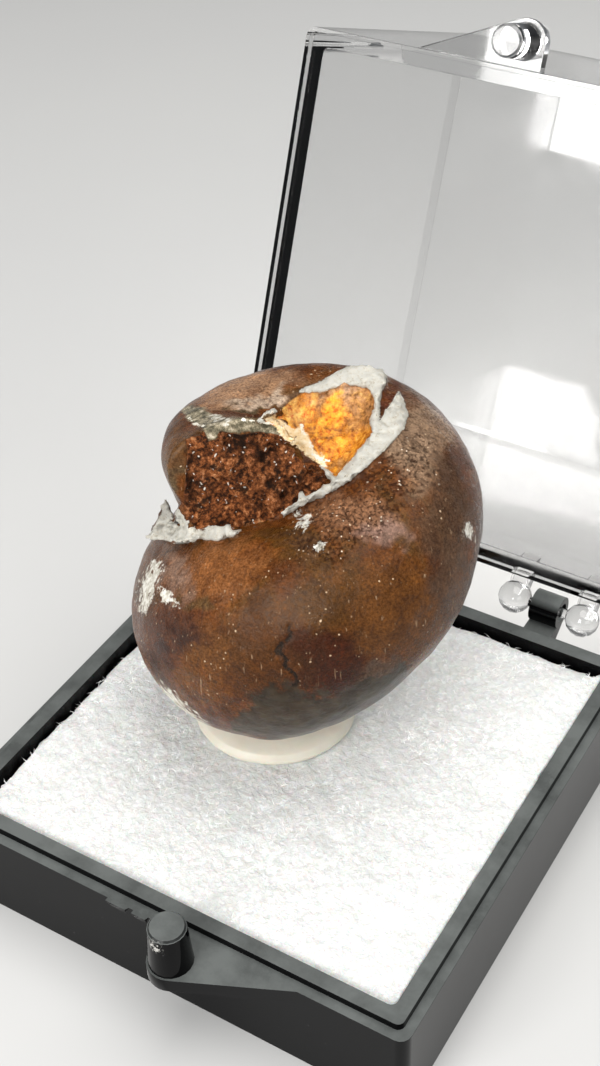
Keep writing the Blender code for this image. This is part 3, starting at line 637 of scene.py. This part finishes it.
def calcite_fill():
    """Rings of the outline shrunk towards its middle, each at the calcite's depth, over a bottom below the first."""
    sizes = np.concatenate([[1.0], np.linspace(1.0, 0.06, CALCITE_RINGS)])
    sunk = np.concatenate([[CALCITE_THICKNESS], np.zeros(CALCITE_RINGS)])
    edge = ragged(CALCITE_OUTLINE, 0.05, 5, 0.2)
    rings = CALCITE_MIDDLE + (edge - CALCITE_MIDDLE)[None] * sizes[:, None, None]
    right, up = rings[..., 0].ravel(), rings[..., 1].ravel()
    points = at_depth(right, up, calcite_depth(right, up) - np.repeat(sunk, len(edge)))
    count = len(edge)
    faces = grid_faces(len(sizes), count).tolist()
    return points, [*faces, list(range(count))[::-1], list(range(len(points) - count, len(points)))]


def as_one(solids):
    """Several (points, faces) as one."""
    start, points, faces = 0, [], []
    for solid_points, solid_faces in solids:
        points.append(solid_points)
        faces += [[index + start for index in face] for face in solid_faces]
        start += len(solid_points)
    return np.vstack(points), faces


def one_skin(solids, voxel):
    """The union of closed solids as one mesh of even quads, by a voxel remesh."""
    draft = new_piece("draft", *as_one(solids), putty_white, body=None)
    bpy.context.view_layer.objects.active = draft
    remesh = draft.modifiers.new("one_skin", "REMESH")
    remesh.mode = "VOXEL"
    remesh.voxel_size = voxel * MM
    mesh = bpy.data.meshes.new_from_object(draft.evaluated_get(bpy.context.evaluated_depsgraph_get()))
    bpy.data.objects.remove(draft, do_unlink=True)
    return mesh


def snail_solids():
    """The coil, the calcite and every crust, as closed solids that overlap."""
    solids = [(COIL_POINTS, COIL_FACES), calcite_fill()]
    for seed, (outline, read_at, proud, sunk, rag) in enumerate(CRUSTS.values(), 100):
        solids.append(crust(outline, read_at, proud, sunk, rag, seed))
    return solids


snail_mesh = one_skin(snail_solids(), VOXEL)
snail_mesh.materials.clear()

# The snail's skin: its relief, and where each finish lies.
# The cast's skin is polished smooth but for a pitted zone and a crack; the break is coarse grains, the shell flaky.
# Each finish is kept as an attribute: how far inside its border a point lies, in millimetres.
BAND = ((-6.7, 8.7), (-6.25, 8.95), (-5.7, 8.9), (-5.0, 8.55), (-4.0, 8.2), (-2.9, 8.2), (-2.15, 7.9), (-1.45, 7.9),
        (-0.85, 7.7), (-0.65, 7.4), (-1.0, 7.2), (-2.15, 7.35), (-3.35, 7.3), (-4.55, 7.4), (-4.7, 7.0), (-5.2, 6.9),
        (-5.4, 7.3), (-5.5, 7.6), (-5.9, 7.9), (-6.4, 8.2))
BREAK_OUTLINE = ((-6.7, 8.2), (-5.9, 7.85), (-5.5, 7.6), (-5.2, 6.9), (-4.7, 7.0), (-4.55, 7.5), (-3.35, 7.25),
                 (-2.15, 7.4), (-1.0, 7.2), (-0.65, 6.9), (0.2, 6.55), (0.9, 5.9), (1.7, 5.15), (2.3, 4.55), (2.6, 4.2),
                 (0.3, 2.3), (-1.0, 1.7), (-3.2, 1.0), (-5.6, 1.3), (-6.6, 2.6), (-6.6, 3.9), (-6.5, 5.2), (-6.4, 6.3),
                 (-6.6, 7.5))
CALCITE_BORDER = ((-1.9, 7.95), (-1.3, 8.4), (-0.7, 8.9), (-0.2, 9.3), (0.3, 9.7), (1.5, 10.1), (2.7, 10.4),
                  (3.8, 10.3), (4.6, 9.8), (4.7, 8.9), (4.6, 7.6), (4.3, 6.4), (3.4, 5.0), (2.5, 4.3), (2.3, 4.55),
                  (1.7, 5.15), (0.9, 5.9), (0.2, 6.55), (-0.65, 6.9), (-0.85, 7.6))
CREAM = ((-0.95, 7.6), (-0.55, 7.75), (0.0, 7.6), (0.3, 7.95), (0.5, 7.5), (0.75, 6.9), (1.0, 6.4), (1.6, 5.95),
         (1.65, 5.35), (1.2, 5.6), (0.75, 5.95), (0.1, 6.45), (-0.65, 6.8), (-0.9, 7.2))
CREAM_EDGE = ((-1.9, 8.15), (-1.4, 8.4), (-0.9, 8.1), (-0.3, 7.4), (0.0, 6.8), (-0.4, 6.65), (-0.9, 7.2), (-1.4, 7.85))
CRACK = ((-0.35, -3.9), (-0.6, -4.6), (-1.0, -5.1), (-1.2, -5.6), (-0.65, -6.0), (-0.7, -6.4), (-0.05, -6.9),
         (0.05, -7.3), (-0.35, -7.6))
PITTED = ((0.2, 2.9), (2.5, 3.7), (4.6, 5.2), (6.3, 7.4), (8.0, 7.0), (8.3, 4.8), (6.4, 3.0), (4.4, 1.2), (2.2, -0.4),
          (0.2, 0.2), (-0.4, 1.6))
GREY_PATCH = ((-3.4, -9.3), (-2.6, -8.4), (-1.6, -7.6), (-0.3, -7.4), (1.0, -7.9), (2.5, -8.0), (4.8, -7.0),
              (6.2, -6.4), (6.4, -8.0), (4.4, -9.6), (1.5, -10.6), (-1.5, -10.6), (-3.6, -10.1))
# White smears worn on the skin, and one painted glint: the short streak from (-4.9, 8.35) to (-4.0, 8.0) on the
# greenish band is a painted highlight.
WHITE_SMEARS_AND_GLINT = (
    ((-9.2, -2.9), (-8.85, -3.2), (-8.4, -1.9), (-8.0, -0.85), (-8.1, -0.1), (-8.6, -0.3), (-9.1, -1.3), (-9.3, -2.4)),
    ((-8.2, -1.9), (-7.6, -1.95), (-7.1, -2.6), (-7.5, -2.5), (-8.0, -2.3)),
    ((-8.1, -7.4), (-7.3, -7.8), (-6.6, -8.5), (-5.9, -9.2), (-5.2, -9.75), (-5.5, -10.0), (-6.5, -9.4),
     (-7.5, -8.6), (-8.3, -7.8)),
    ((0.05, 2.5), (0.5, 2.6), (0.7, 2.2), (0.45, 1.8), (0.1, 2.0)), ((1.1, 1.1), (1.5, 0.95), (1.5, 0.45), (1.1, 0.6)),
    ((-4.9, 8.35), (-4.1, 8.2), (-4.0, 8.0), (-4.7, 8.1)), ((10.05, 1.9), (10.25, 1.8), (10.3, 1.0), (10.1, 1.1)),
)
# Broad ovals of the skin's colour: middle, half width and height, colour.  Most are the stone's own colour; the pale
# ovals at (-2.1, 9.25) and (5.1, 1.8) are painted highlights, and the dark red-brown ovals low on the stone, as at
# (1.6, -6.0) and (-2.5, -5.5), are its own colour darkened further as painted shade of its underside.
STAINS_AND_PAINTED_LIGHT = (
    ((-3.5, 9.9), (4.5, 1.4), (0.42, 0.250, 0.150)), ((-7.1, 5.9), (0.7, 2.4), (0.12, 0.058, 0.022)),
    ((-7.1, 4.0), (0.5, 1.6), (0.085, 0.064, 0.035)), ((-2.1, 9.25), (1.9, 0.5), (0.50, 0.40, 0.32)),
    ((-2.7, 8.65), (1.8, 0.3), (0.10, 0.078, 0.042)), ((-4.6, -0.4), (3.0, 1.7), (0.215, 0.085, 0.028)),
    ((-7.3, -0.8), (0.9, 1.8), (0.24, 0.150, 0.110)), ((-7.6, -4.3), (1.8, 2.6), (0.075, 0.026, 0.012)),
    ((-2.5, -5.5), (3.0, 3.0), (0.060, 0.019, 0.002)), ((1.6, -6.0), (2.6, 2.2), (0.024, 0.002, 0.000)),
    ((1.7, -2.6), (3.4, 2.2), (0.060, 0.024, 0.002)), ((6.0, -3.0), (3.0, 3.0), (0.105, 0.040, 0.008)),
    ((5.1, 1.8), (1.5, 1.1), (0.28, 0.175, 0.145)), ((3.2, 2.6), (2.6, 1.0), (0.28, 0.140, 0.075)),
    ((8.8, 1.0), (1.8, 5.5), (0.080, 0.045, 0.027)), ((7.2, 6.8), (2.0, 2.6), (0.30, 0.210, 0.145)),
    ((5.2, -7.2), (2.6, 1.3), (0.080, 0.054, 0.040)), ((-1.4, -1.2), (1.6, 1.2), (0.075, 0.022, 0.004)),
    ((5.4, 9.2), (0.4, 0.9), (0.10, 0.030, 0.016)), ((-5.2, -5.8), (1.5, 1.8), (0.110, 0.042, 0.009)),
    ((-6.9, -4.7), (0.7, 1.3), (0.024, 0.008, 0.006)), ((-5.9, -2.3), (0.8, 0.8), (0.110, 0.066, 0.026)),
)
# The same for the calcite: amber in its middle, brown under the crest and towards the seam.
CALCITE_STAINS = (
    ((1.6, 9.7), (3.2, 0.9), (0.32, 0.250, 0.190)), ((4.2, 8.6), (0.7, 1.6), (0.28, 0.165, 0.080)),
    ((-0.6, 8.2), (0.9, 0.7), (0.74, 0.44, 0.130)), ((3.9, 6.8), (0.8, 1.5), (0.42, 0.135, 0.012)),
    ((2.2, 8.3), (1.1, 1.2), (0.82, 0.38, 0.030)), ((2.6, 5.3), (0.8, 0.8), (0.32, 0.17, 0.06)),
)
# Fine white lines of shell left on the break's upper edge and beside the calcite.
WHITE_LINES = (
    ((-3.2, 8.15), (-2.2, 7.95), (-1.4, 7.95), (-0.85, 7.7)), ((-2.35, 8.05), (-1.9, 8.45), (-1.25, 8.7)),
    ((-6.3, 8.25), (-6.1, 8.0), (-5.75, 7.8), (-5.4, 7.7)), ((0.9, 6.05), (1.3, 5.9), (1.9, 5.75)),
    ((1.3, 5.6), (1.7, 5.25), (2.45, 4.45)), ((0.3, 7.9), (0.4, 7.3), (0.85, 6.5), (1.2, 5.8)),
)
# Sight is worked out in cells this wide; skin may lie this far behind the nearest in its cell and still be in sight.
SIGHT_CELL = 0.3
SIGHT_DEPTH, CREAM_DEPTH = 2.5, 4.0
# What a distance inside a border is lowered by where the finish can't lie.
SHUT_OUT = -9.0


def inside(right, up, outline):
    """Distance to an outline, positive inside it: the least distance to its edges, with the crossing-number sign."""
    a = np.asarray(outline, float)
    b = np.roll(a, -1, axis=0)
    best = np.full(len(right), 1e9)
    odd = np.zeros(len(right), bool)
    for (ax, ay), (bx, by) in zip(a, b):
        dx, dy = bx - ax, by - ay
        t = np.clip(((right - ax) * dx + (up - ay) * dy) / (dx * dx + dy * dy), 0, 1)
        best = np.minimum(best, np.hypot(right - ax - t * dx, up - ay - t * dy))
        crosses = (ay > up) != (by > up)
        odd ^= crosses & (right < ax + (up - ay) * dx / (dy if dy else 1e-9))
    return np.where(odd, best, -best)


def line_distance(right, up, line):
    """Distance to an open line of points."""
    best = np.full(len(right), 1e9)
    for (ax, ay), (bx, by) in zip(line, line[1:]):
        dx, dy = bx - ax, by - ay
        t = np.clip(((right - ax) * dx + (up - ay) * dy) / (dx * dx + dy * dy), 0, 1)
        best = np.minimum(best, np.hypot(right - ax - t * dx, up - ay - t * dy))
    return best


def smooth_step(value, low, high):
    """3t^2 - 2t^3 of how far the value has gone from low to high."""
    t = np.clip((value - low) / (high - low), 0, 1)
    return t * t * (3 - 2 * t)


def mesh_arrays(mesh):
    """A mesh's points in millimetres, and their normals."""
    points, normals = np.empty(len(mesh.vertices) * 3), np.empty(len(mesh.vertices) * 3)
    mesh.vertices.foreach_get("co", points)
    mesh.vertices.foreach_get("normal", normals)
    return points.reshape(-1, 3) / MM, normals.reshape(-1, 3)


def keep(mesh, name, values, kind="FLOAT"):
    """An attribute of the mesh's points."""
    values = np.ascontiguousarray(values, np.float32).ravel()
    mesh.attributes.new(name, kind, "POINT").data.foreach_set("color" if kind == "FLOAT_COLOR" else "value", values)


points, normals = mesh_arrays(snail_mesh)
right, up, depth = laid_out(points)
sight = EYE - points
sight /= np.linalg.norm(sight, axis=1)[:, None]
facing = (normals * sight).sum(axis=1)
# A point is in sight if it faces the eye and no nearer skin lies over it in the same cell.
_, cell = np.unique(np.floor(np.stack([right, up]) / SIGHT_CELL), axis=1, return_inverse=True)
cell = cell.ravel()
nearest = np.full(cell.max() + 1, -99.0)
np.maximum.at(nearest, cell, depth)
in_sight = depth > nearest[cell] - SIGHT_DEPTH
seen = np.where((facing > -0.15) & in_sight, 0.0, SHUT_OUT)

break_corners = coil_point(np.zeros(4), np.arange(4) * math.pi / 2)
break_normal = unit(np.cross(break_corners[2] - break_corners[0], break_corners[3] - break_corners[1]))
break_normal *= np.sign(break_normal @ TOWARDS)
off_break = abs((points - break_corners[0]) @ break_normal)
calcite = inside(right, up, CALCITE_BORDER) + seen
face = np.minimum(inside(right, up, BREAK_OUTLINE), 1.0 - off_break)
face = np.minimum(face + np.where(normals @ break_normal > 0.3, 0, SHUT_OUT), -calcite)
shell = np.full(len(points), SHUT_OUT)
for outline, *_ in CRUSTS.values():
    shell = np.maximum(shell, inside(right, up, outline) + 0.06 + seen)
shell = np.where(off_break < 0.2, np.minimum(shell, 0.6 - (normals @ break_normal)), shell)
pitted = inside(right, up, PITTED) + seen
grey = inside(right, up, GREY_PATCH) + seen
smears_and_glint = np.max([inside(right, up, outline) for outline in WHITE_SMEARS_AND_GLINT], axis=0) + seen
crack = line_distance(right + fractal(points, 0.6, 201, 3, 0.7) * 0.2, up, CRACK) - seen
cream = inside(right, up, CREAM) + seen
cream = np.maximum(cream, inside(right, up, CREAM_EDGE) + np.where(depth > nearest[cell] - CREAM_DEPTH, 0, SHUT_OUT))
band = inside(right, up, BAND) + seen
white_line = np.min([line_distance(right, up, line) for line in WHITE_LINES], axis=0) - seen


def stained(stains, seen_from):
    """Colour and amount: each oval laid over the last, with edges that drift with the noise.

    An oval is full over the middle half of its ellipse, and gone at 1.3 times its size.
    """
    colour = np.zeros((len(points), 4))
    for (middle_right, middle_up), (half_width, half_height), tint in stains:
        reach = np.hypot((right + drift[:, 0] - middle_right) / half_width,
                         (up + drift[:, 1] - middle_up) / half_height)
        amount = smooth_step(-reach, -1.3, -0.5) * seen_from
        blend = (amount / np.maximum(amount + colour[:, 3] * (1 - amount), 1e-6))[:, None]
        colour[:, :3] = colour[:, :3] * (1 - blend) + np.array(tint) * blend
        colour[:, 3] += amount * (1 - colour[:, 3])
    return colour


drift = np.stack([fractal(points, 1.9, 301, 4, 0.7), fractal(points, 1.9, 311, 4, 0.7)], axis=-1) * 0.75
# Ovals of colour on the skin, with painted highlights and painted shade of the underside among them.
stain_and_light = stained(STAINS_AND_PAINTED_LIGHT, smooth_step(facing, 0.0, 0.25) * in_sight)
calcite_stain = stained(CALCITE_STAINS, smooth_step(facing, 0.0, 0.1) * in_sight)

on_face, on_shell, on_calcite = smooth_step(face, 0, 0.2), smooth_step(shell, 0, 0.1), smooth_step(calcite, 0, 0.2)
plain = (1 - on_face) * (1 - on_shell) * (1 - on_calcite)
# Relief in millimetres.  The polished skin swells slowly and is a little wavy.
relief = (fractal(points, 4.0, 1, 3) * 0.10 + fractal(points, 1.3, 5, 3) * 0.03) * plain
# The break is clots, the noise without its sign, over slow lumps and under sharp grains, cut in below the skin.
clots = abs(fractal(points + drift[:, [0, 1, 0]] * 0.5, 0.9, 21, 3, 0.75))
lumps = fractal(points, 2.4, 41, 2) * 0.20
relief += on_face * (clots * 0.26 + lumps + fractal(points, 0.55, 43, 2, 0.9) * 0.13 - 0.16)
# The shell is flaky, and deeper in the crumbling crust at the left.
crumbling = smooth_step(-right, 5.6, 6.4) * smooth_step(-up, -3.6, -2.8)
relief += on_shell * (1 - on_face) * (fractal(points, 0.45, 51, 2, 0.9) * (0.17 + 0.12 * crumbling) - 0.02)
relief += on_calcite * (1 - on_shell) * fractal(points * (1, 1, 0.6), 0.9, 61, 4, 0.7) * 0.13
# Pits are the tops of noise turned inwards; the crack is a bell-shaped groove.
relief -= plain * smooth_step(pitted, -0.4, 1.0) * np.maximum(0, fractal(points, 0.7, 81, 3, 0.8) - 0.1) * 0.24
relief -= plain * 0.14 * np.exp(-(crack / 0.12) ** 2)
# Coil that stands in front of the calcite's face is drawn back along the line of sight to it.
sunk = np.clip(depth - calcite_depth(right, up) + 0.1, 0, 2.5) * smooth_step(calcite, 0, 0.9) * (1 - on_shell)
carved = points + normals * relief[:, None] - sight * sunk[:, None]
snail_mesh.vertices.foreach_set("co", (carved * MM).ravel())
snail_mesh.update()
snail_mesh.shade_smooth()
keep(snail_mesh, "stain_and_light", stain_and_light, "FLOAT_COLOR")
keep(snail_mesh, "calcite_stain", calcite_stain, "FLOAT_COLOR")
for name, values in (("clots", clots), ("calcite", calcite), ("face", face), ("shell", shell), ("pitted", pitted),
                     ("grey", grey), ("smears_and_glint", smears_and_glint), ("crack", crack), ("cream", cream), ("band", band),
                     ("white_line", white_line)):
    keep(snail_mesh, name, values)

# The snail's finish: polished iron-brown stone, mottled orange, olive and violet.  Grey and greenish patches, worn
# white, amber calcite, the coarse red-brown grains of the break and chalky shell lie over it inside their borders.
# Painted light lies in this finish too: pale ovals and a glint on the skin are painted highlights, dark ovals low on
# the stone add painted shade, and the break carries painted shade in its hollows and painted glints.
stone, tree, shader = new_material("iron_brown_stone", 0.35, IOR=1.5, Specular_IOR_Level=0.26,
                                   Specular_Tint=(1.0, 0.84, 0.70, 1.0))


def kept(tree, name):
    """One of the mesh's attributes as a plain value."""
    return put(tree, "Attribute", attribute_name=name).outputs["Fac"]


def between(tree, amount, under, over):
    """A plain value moved from one to the other by an amount from 0 to 1."""
    return put(tree, "Mix", {0: amount, 2: under, 3: over}).outputs[0]


def border(tree, name, wobble, size, soft=0.03, grow=0.0):
    """0 outside and 1 inside a finish's border, which noise makes ragged by so many millimetres."""
    rag = span(tree, noise(tree, size, 5.0, 0.7), 0.25, 0.75, -wobble, wobble)
    return span(tree, sums(tree, "ADD", kept(tree, name), rag), -soft - grow, soft - grow)


mottle = noise(tree, 5.0, 5.0, 0.64, warp=0.6)
skin = ramp(tree, mottle, (0.34, (0.036, 0.009, 0.003)), (0.43, (0.090, 0.026, 0.005)), (0.51, (0.140, 0.046, 0.008)),
            (0.59, (0.086, 0.037, 0.007)), (0.69, (0.080, 0.036, 0.015)))
# The skin's ovals of colour, painted highlights and painted shade among them, laid over the mottle.
stains = put(tree, "Attribute", attribute_name="stain_and_light")
skin = layer(tree, product(tree, stains.outputs["Alpha"], 0.86), skin, stains.outputs["Color"])
# Overlay doubles a colour at white and leaves it alone at mid grey.
blotch = noise(tree, 1.1, 8.0, 0.72, warp=0.7)
skin = layer(tree, 1.0, skin, ramp(tree, blotch, (0.30, (0.25, 0.21, 0.19)), (0.45, (0.42, 0.40, 0.38)),
                                   (0.56, (0.51, 0.49, 0.47)), (0.70, (0.72, 0.69, 0.64))), "OVERLAY")
grain = noise(tree, 0.16, 5.0, 0.75)
skin = layer(tree, 1.0, skin, ramp(tree, grain, (0.34, (0.23, 0.20, 0.18)), (0.46, (0.43, 0.42, 0.40)),
                                   (0.56, (0.54, 0.53, 0.50)), (0.68, (0.92, 0.88, 0.80))), "OVERLAY")
fissures = span(tree, cells(tree, 1.4, pushed(tree, 0.7, 0.9), "DISTANCE_TO_EDGE"), 0.07, 0.02)
broken_up = span(tree, noise(tree, 0.9, 4.0, 0.6, object_place(tree, (0.8, 0.2, 0.5))), 0.50, 0.58)
skin = layer(tree, product(tree, fissures, broken_up, 0.5), skin, (0.030, 0.011, 0.005))
crumbs = cells(tree, 0.50, pushed(tree, 0.5, 0.25))
crumby = span(tree, noise(tree, 3.0, 3.0, 0.5, object_place(tree, (0.7, 0.1, 0.4))), 0.42, 0.66, 0.05, 0.16)
skin = layer(tree, span(tree, sums(tree, "SUBTRACT", crumby, crumbs), 0.0, 0.05, 0.0, 0.8), skin, (0.62, 0.46, 0.30))
for turn in ((0.2, 0.7, 0.3), (1.0, 0.2, 1.4)):
    scratches = noise(tree, 0.22, 2.0, 0.5, object_place(tree, turn, (1, 1, 0.10)))
    skin = layer(tree, span(tree, scratches, 0.70, 0.75, 0.0, 0.45), skin, (0.45, 0.30, 0.18))

in_grey = border(tree, "grey", 0.9, 1.5, 0.25, 0.15)
grey_stone = layer(tree, span(tree, noise(tree, 0.9, 6.0, 0.7), 0.35, 0.65), (0.008, 0.006, 0.004),
                   (0.042, 0.033, 0.021))
skin = layer(tree, product(tree, in_grey, 0.92), skin, grey_stone)
in_pits = border(tree, "pitted", 1.3, 1.1, 0.5)
pits = span(tree, noise(tree, 0.24, 6.0, 0.78), 0.48, 0.40)
skin = layer(tree, product(tree, in_pits, pits, 0.8), skin, (0.045, 0.014, 0.006))
clustered = span(tree, noise(tree, 1.5, 4.0, 0.65, object_place(tree, (0.3, 0.9, 0.2))), 0.42, 0.62, 0.05, 0.21)
glints = span(tree, sums(tree, "SUBTRACT", clustered, cells(tree, 0.36, pushed(tree, 0.3, 0.2))), 0.0, 0.05)
skin = layer(tree, product(tree, in_pits, glints), skin, (0.72, 0.60, 0.46))
crack_rag = span(tree, noise(tree, 0.3, 4.0, 0.7), 0.3, 0.7, -0.07, 0.07)
in_crack = span(tree, sums(tree, "ADD", kept(tree, "crack"), crack_rag), 0.15, 0.07)
skin = layer(tree, in_crack, skin, (0.010, 0.005, 0.003))
in_band = border(tree, "band", 0.18, 0.6, 0.08)
skin = layer(tree, product(tree, in_band, 0.92), skin,
             ramp(tree, noise(tree, 0.5, 6.0, 0.75), (0.38, (0.045, 0.043, 0.028)), (0.48, (0.150, 0.135, 0.088)),
                  (0.57, (0.38, 0.325, 0.22)), (0.65, (0.70, 0.62, 0.48))))
# Worn white smears, and the painted glint on the band, laid in the same pale colours.
in_smears_and_glint = border(tree, "smears_and_glint", 0.6, 0.42, 0.08)
skin = layer(tree, in_smears_and_glint, skin, layer(tree, span(tree, noise(tree, 0.3, 5.0), 0.35, 0.6), (0.40, 0.36, 0.28),
                                          (0.80, 0.78, 0.71)))

honey = ramp(tree, noise(tree, 1.2, 8.0, 0.75, object_place(tree, (0.5, 0.2, 0.0), (1, 1, 0.45)), 0.9),
             (0.30, (0.16, 0.050, 0.010)), (0.42, (0.42, 0.150, 0.022)), (0.51, (0.68, 0.245, 0.022)),
             (0.60, (0.88, 0.40, 0.045)), (0.70, (0.92, 0.62, 0.22)))
honey_stains = put(tree, "Attribute", attribute_name="calcite_stain")
honey = layer(tree, product(tree, honey_stains.outputs["Alpha"], 0.62), honey, honey_stains.outputs["Color"])
honey = layer(tree, 1.0, honey, ramp(tree, noise(tree, 0.32, 6.0, 0.75), (0.36, (0.14, 0.12, 0.10)),
                                     (0.48, (0.46, 0.44, 0.42)), (0.64, (0.74, 0.80, 0.90))), "OVERLAY")
# Grains are painted paler on the tops of the clots and darker between them, as painted shade in the hollows.
clots_and_hollow_shade = sums(tree, "ADD", noise(tree, 0.24, 7.0, 0.80), span(tree, kept(tree, "clots"), 0.0, 0.55, -0.075, 0.045))
break_grains_and_light = ramp(tree, clots_and_hollow_shade, (0.36, (0.012, 0.005, 0.002)), (0.43, (0.065, 0.020, 0.007)),
              (0.50, (0.21, 0.066, 0.020)), (0.57, (0.42, 0.140, 0.042)), (0.65, (0.70, 0.36, 0.17)))
break_grains_and_light = layer(tree, 1.0, break_grains_and_light, ramp(tree, noise(tree, 2.2, 3.0, 0.6, object_place(tree, (0.6, 0.9, 0.1))),
                                       (0.36, (0.20, 0.18, 0.17)), (0.50, (0.48, 0.46, 0.45)),
                                       (0.62, (0.62, 0.58, 0.55))), "OVERLAY")
# Painted shade: near-black spots stand for shadowed cavities in the break.
painted_cavity_shade = span(tree, noise(tree, 0.8, 5.0, 0.65, object_place(tree, (0.9, 0.4, 0.2))), 0.45, 0.38, 0.0, 0.92)
break_grains_and_light = layer(tree, painted_cavity_shade, break_grains_and_light, (0.010, 0.003, 0.001))
for turn in ((0.3, 0.5, 0.9), (1.2, 0.1, 0.4), (0.1, 1.3, 0.2)):
    # Painted glints: short white needles on the break.  Stretched after the turn, so that each set of needles points
    # its own way.
    stretched = put(tree, "Mapping", {"Vector": object_place(tree, turn), "Scale": (1, 1, 0.3)}).outputs["Vector"]
    glint_needles = cells(tree, 0.40, stretched)
    slender = span(tree, noise(tree, 1.6, 3.0, 0.6, object_place(tree, turn)), 0.40, 0.58, 0.06, 0.160)
    break_grains_and_light = layer(tree, span(tree, sums(tree, "SUBTRACT", slender, glint_needles), 0.0, 0.04), break_grains_and_light, (1.0, 0.94, 0.84))
chalk = noise(tree, 0.34, 8.0, 0.85, warp=0.5)
flaky = ramp(tree, chalk, (0.33, (0.24, 0.185, 0.120)), (0.39, (0.72, 0.65, 0.51)), (0.45, (0.98, 0.94, 0.82)),
             (0.55, (1.0, 0.98, 0.89)))

in_face = border(tree, "face", 0.05, 0.5, 0.03)
in_calcite = border(tree, "calcite", 0.05, 0.5, 0.03)
in_cream = border(tree, "cream", 0.18, 0.5, 0.06)
in_shell = border(tree, "shell", 0.05, 0.3, 0.02)
colour = layer(tree, in_calcite, skin, honey)
colour = layer(tree, in_cream, colour, ramp(tree, noise(tree, 0.5, 5.0, 0.7), (0.36, (0.66, 0.40, 0.17)),
                                            (0.50, (0.88, 0.66, 0.37)), (0.62, (0.93, 0.80, 0.58))))
# The break's grains, with their painted shade in hollows and painted glints.
colour = layer(tree, in_face, colour, break_grains_and_light)
line_rag = span(tree, noise(tree, 0.35, 4.0, 0.7), 0.3, 0.7, -0.12, 0.12)
in_line = span(tree, sums(tree, "ADD", kept(tree, "white_line"), line_rag), 0.08, 0.04)
colour = layer(tree, in_line, colour, (0.90, 0.85, 0.72))
colour = layer(tree, in_shell, colour, flaky)
feed(tree, colour, shader.inputs["Base Color"])

roughness = span(tree, grain, 0.35, 0.65, 0.16, 0.40)
for finish, dulled in ((in_grey, 0.22), (in_pits, 0.50), (in_smears_and_glint, 0.6), (in_calcite, 0.25), (in_face, 0.60),
                       (in_shell, 0.75)):
    roughness = between(tree, finish, roughness, dulled)
feed(tree, roughness, shader.inputs["Roughness"])

smooth_relief = sums(tree, "ADD", product(tree, noise(tree, 0.9, 6.0, 0.6), 0.09), product(tree, grain, 0.03))
smooth_relief = sums(tree, "SUBTRACT", smooth_relief, product(tree, pits, in_pits, 0.05))
broken_relief = product(tree, between(tree, in_shell, noise(tree, 0.30, 8.0, 0.78), chalk), 0.36)
fine_relief = between(tree, sums(tree, "MAXIMUM", in_face, in_shell), smooth_relief, broken_relief)
feed(tree, bump(tree, fine_relief, 1.0), shader.inputs["Normal"])

snail = bpy.data.objects.new("snail", snail_mesh)
bpy.context.scene.collection.objects.link(snail)
snail_mesh.materials.append(stone)
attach(snail, "base")
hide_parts("fossil_snail")

# ---------------------------------------------------------------- the clear lid
# A deep cover moulded in clear polystyrene, with four knuckles whose pins sit in the tray's barrels.  It is open
# past upright and rests on its far top edge.
LID_EDGE = 0.16
clear, tree, shader = new_material("clear_polystyrene", 0.03, IOR=1.59, Transmission_Weight=1.0,
                                   Specular_IOR_Level=0.35)
feed(tree, span(tree, noise(tree, 4.0, 4.0), 0.4, 0.8, 0.02, 0.07), shader.inputs["Roughness"])
lid = soft_edged("lid", "cover", LID_EDGE, "lid", clear)
# Clear plastic lets the light through to the floor and the snail, so it lays no solid shadow on them.
lid.visible_shadow = False
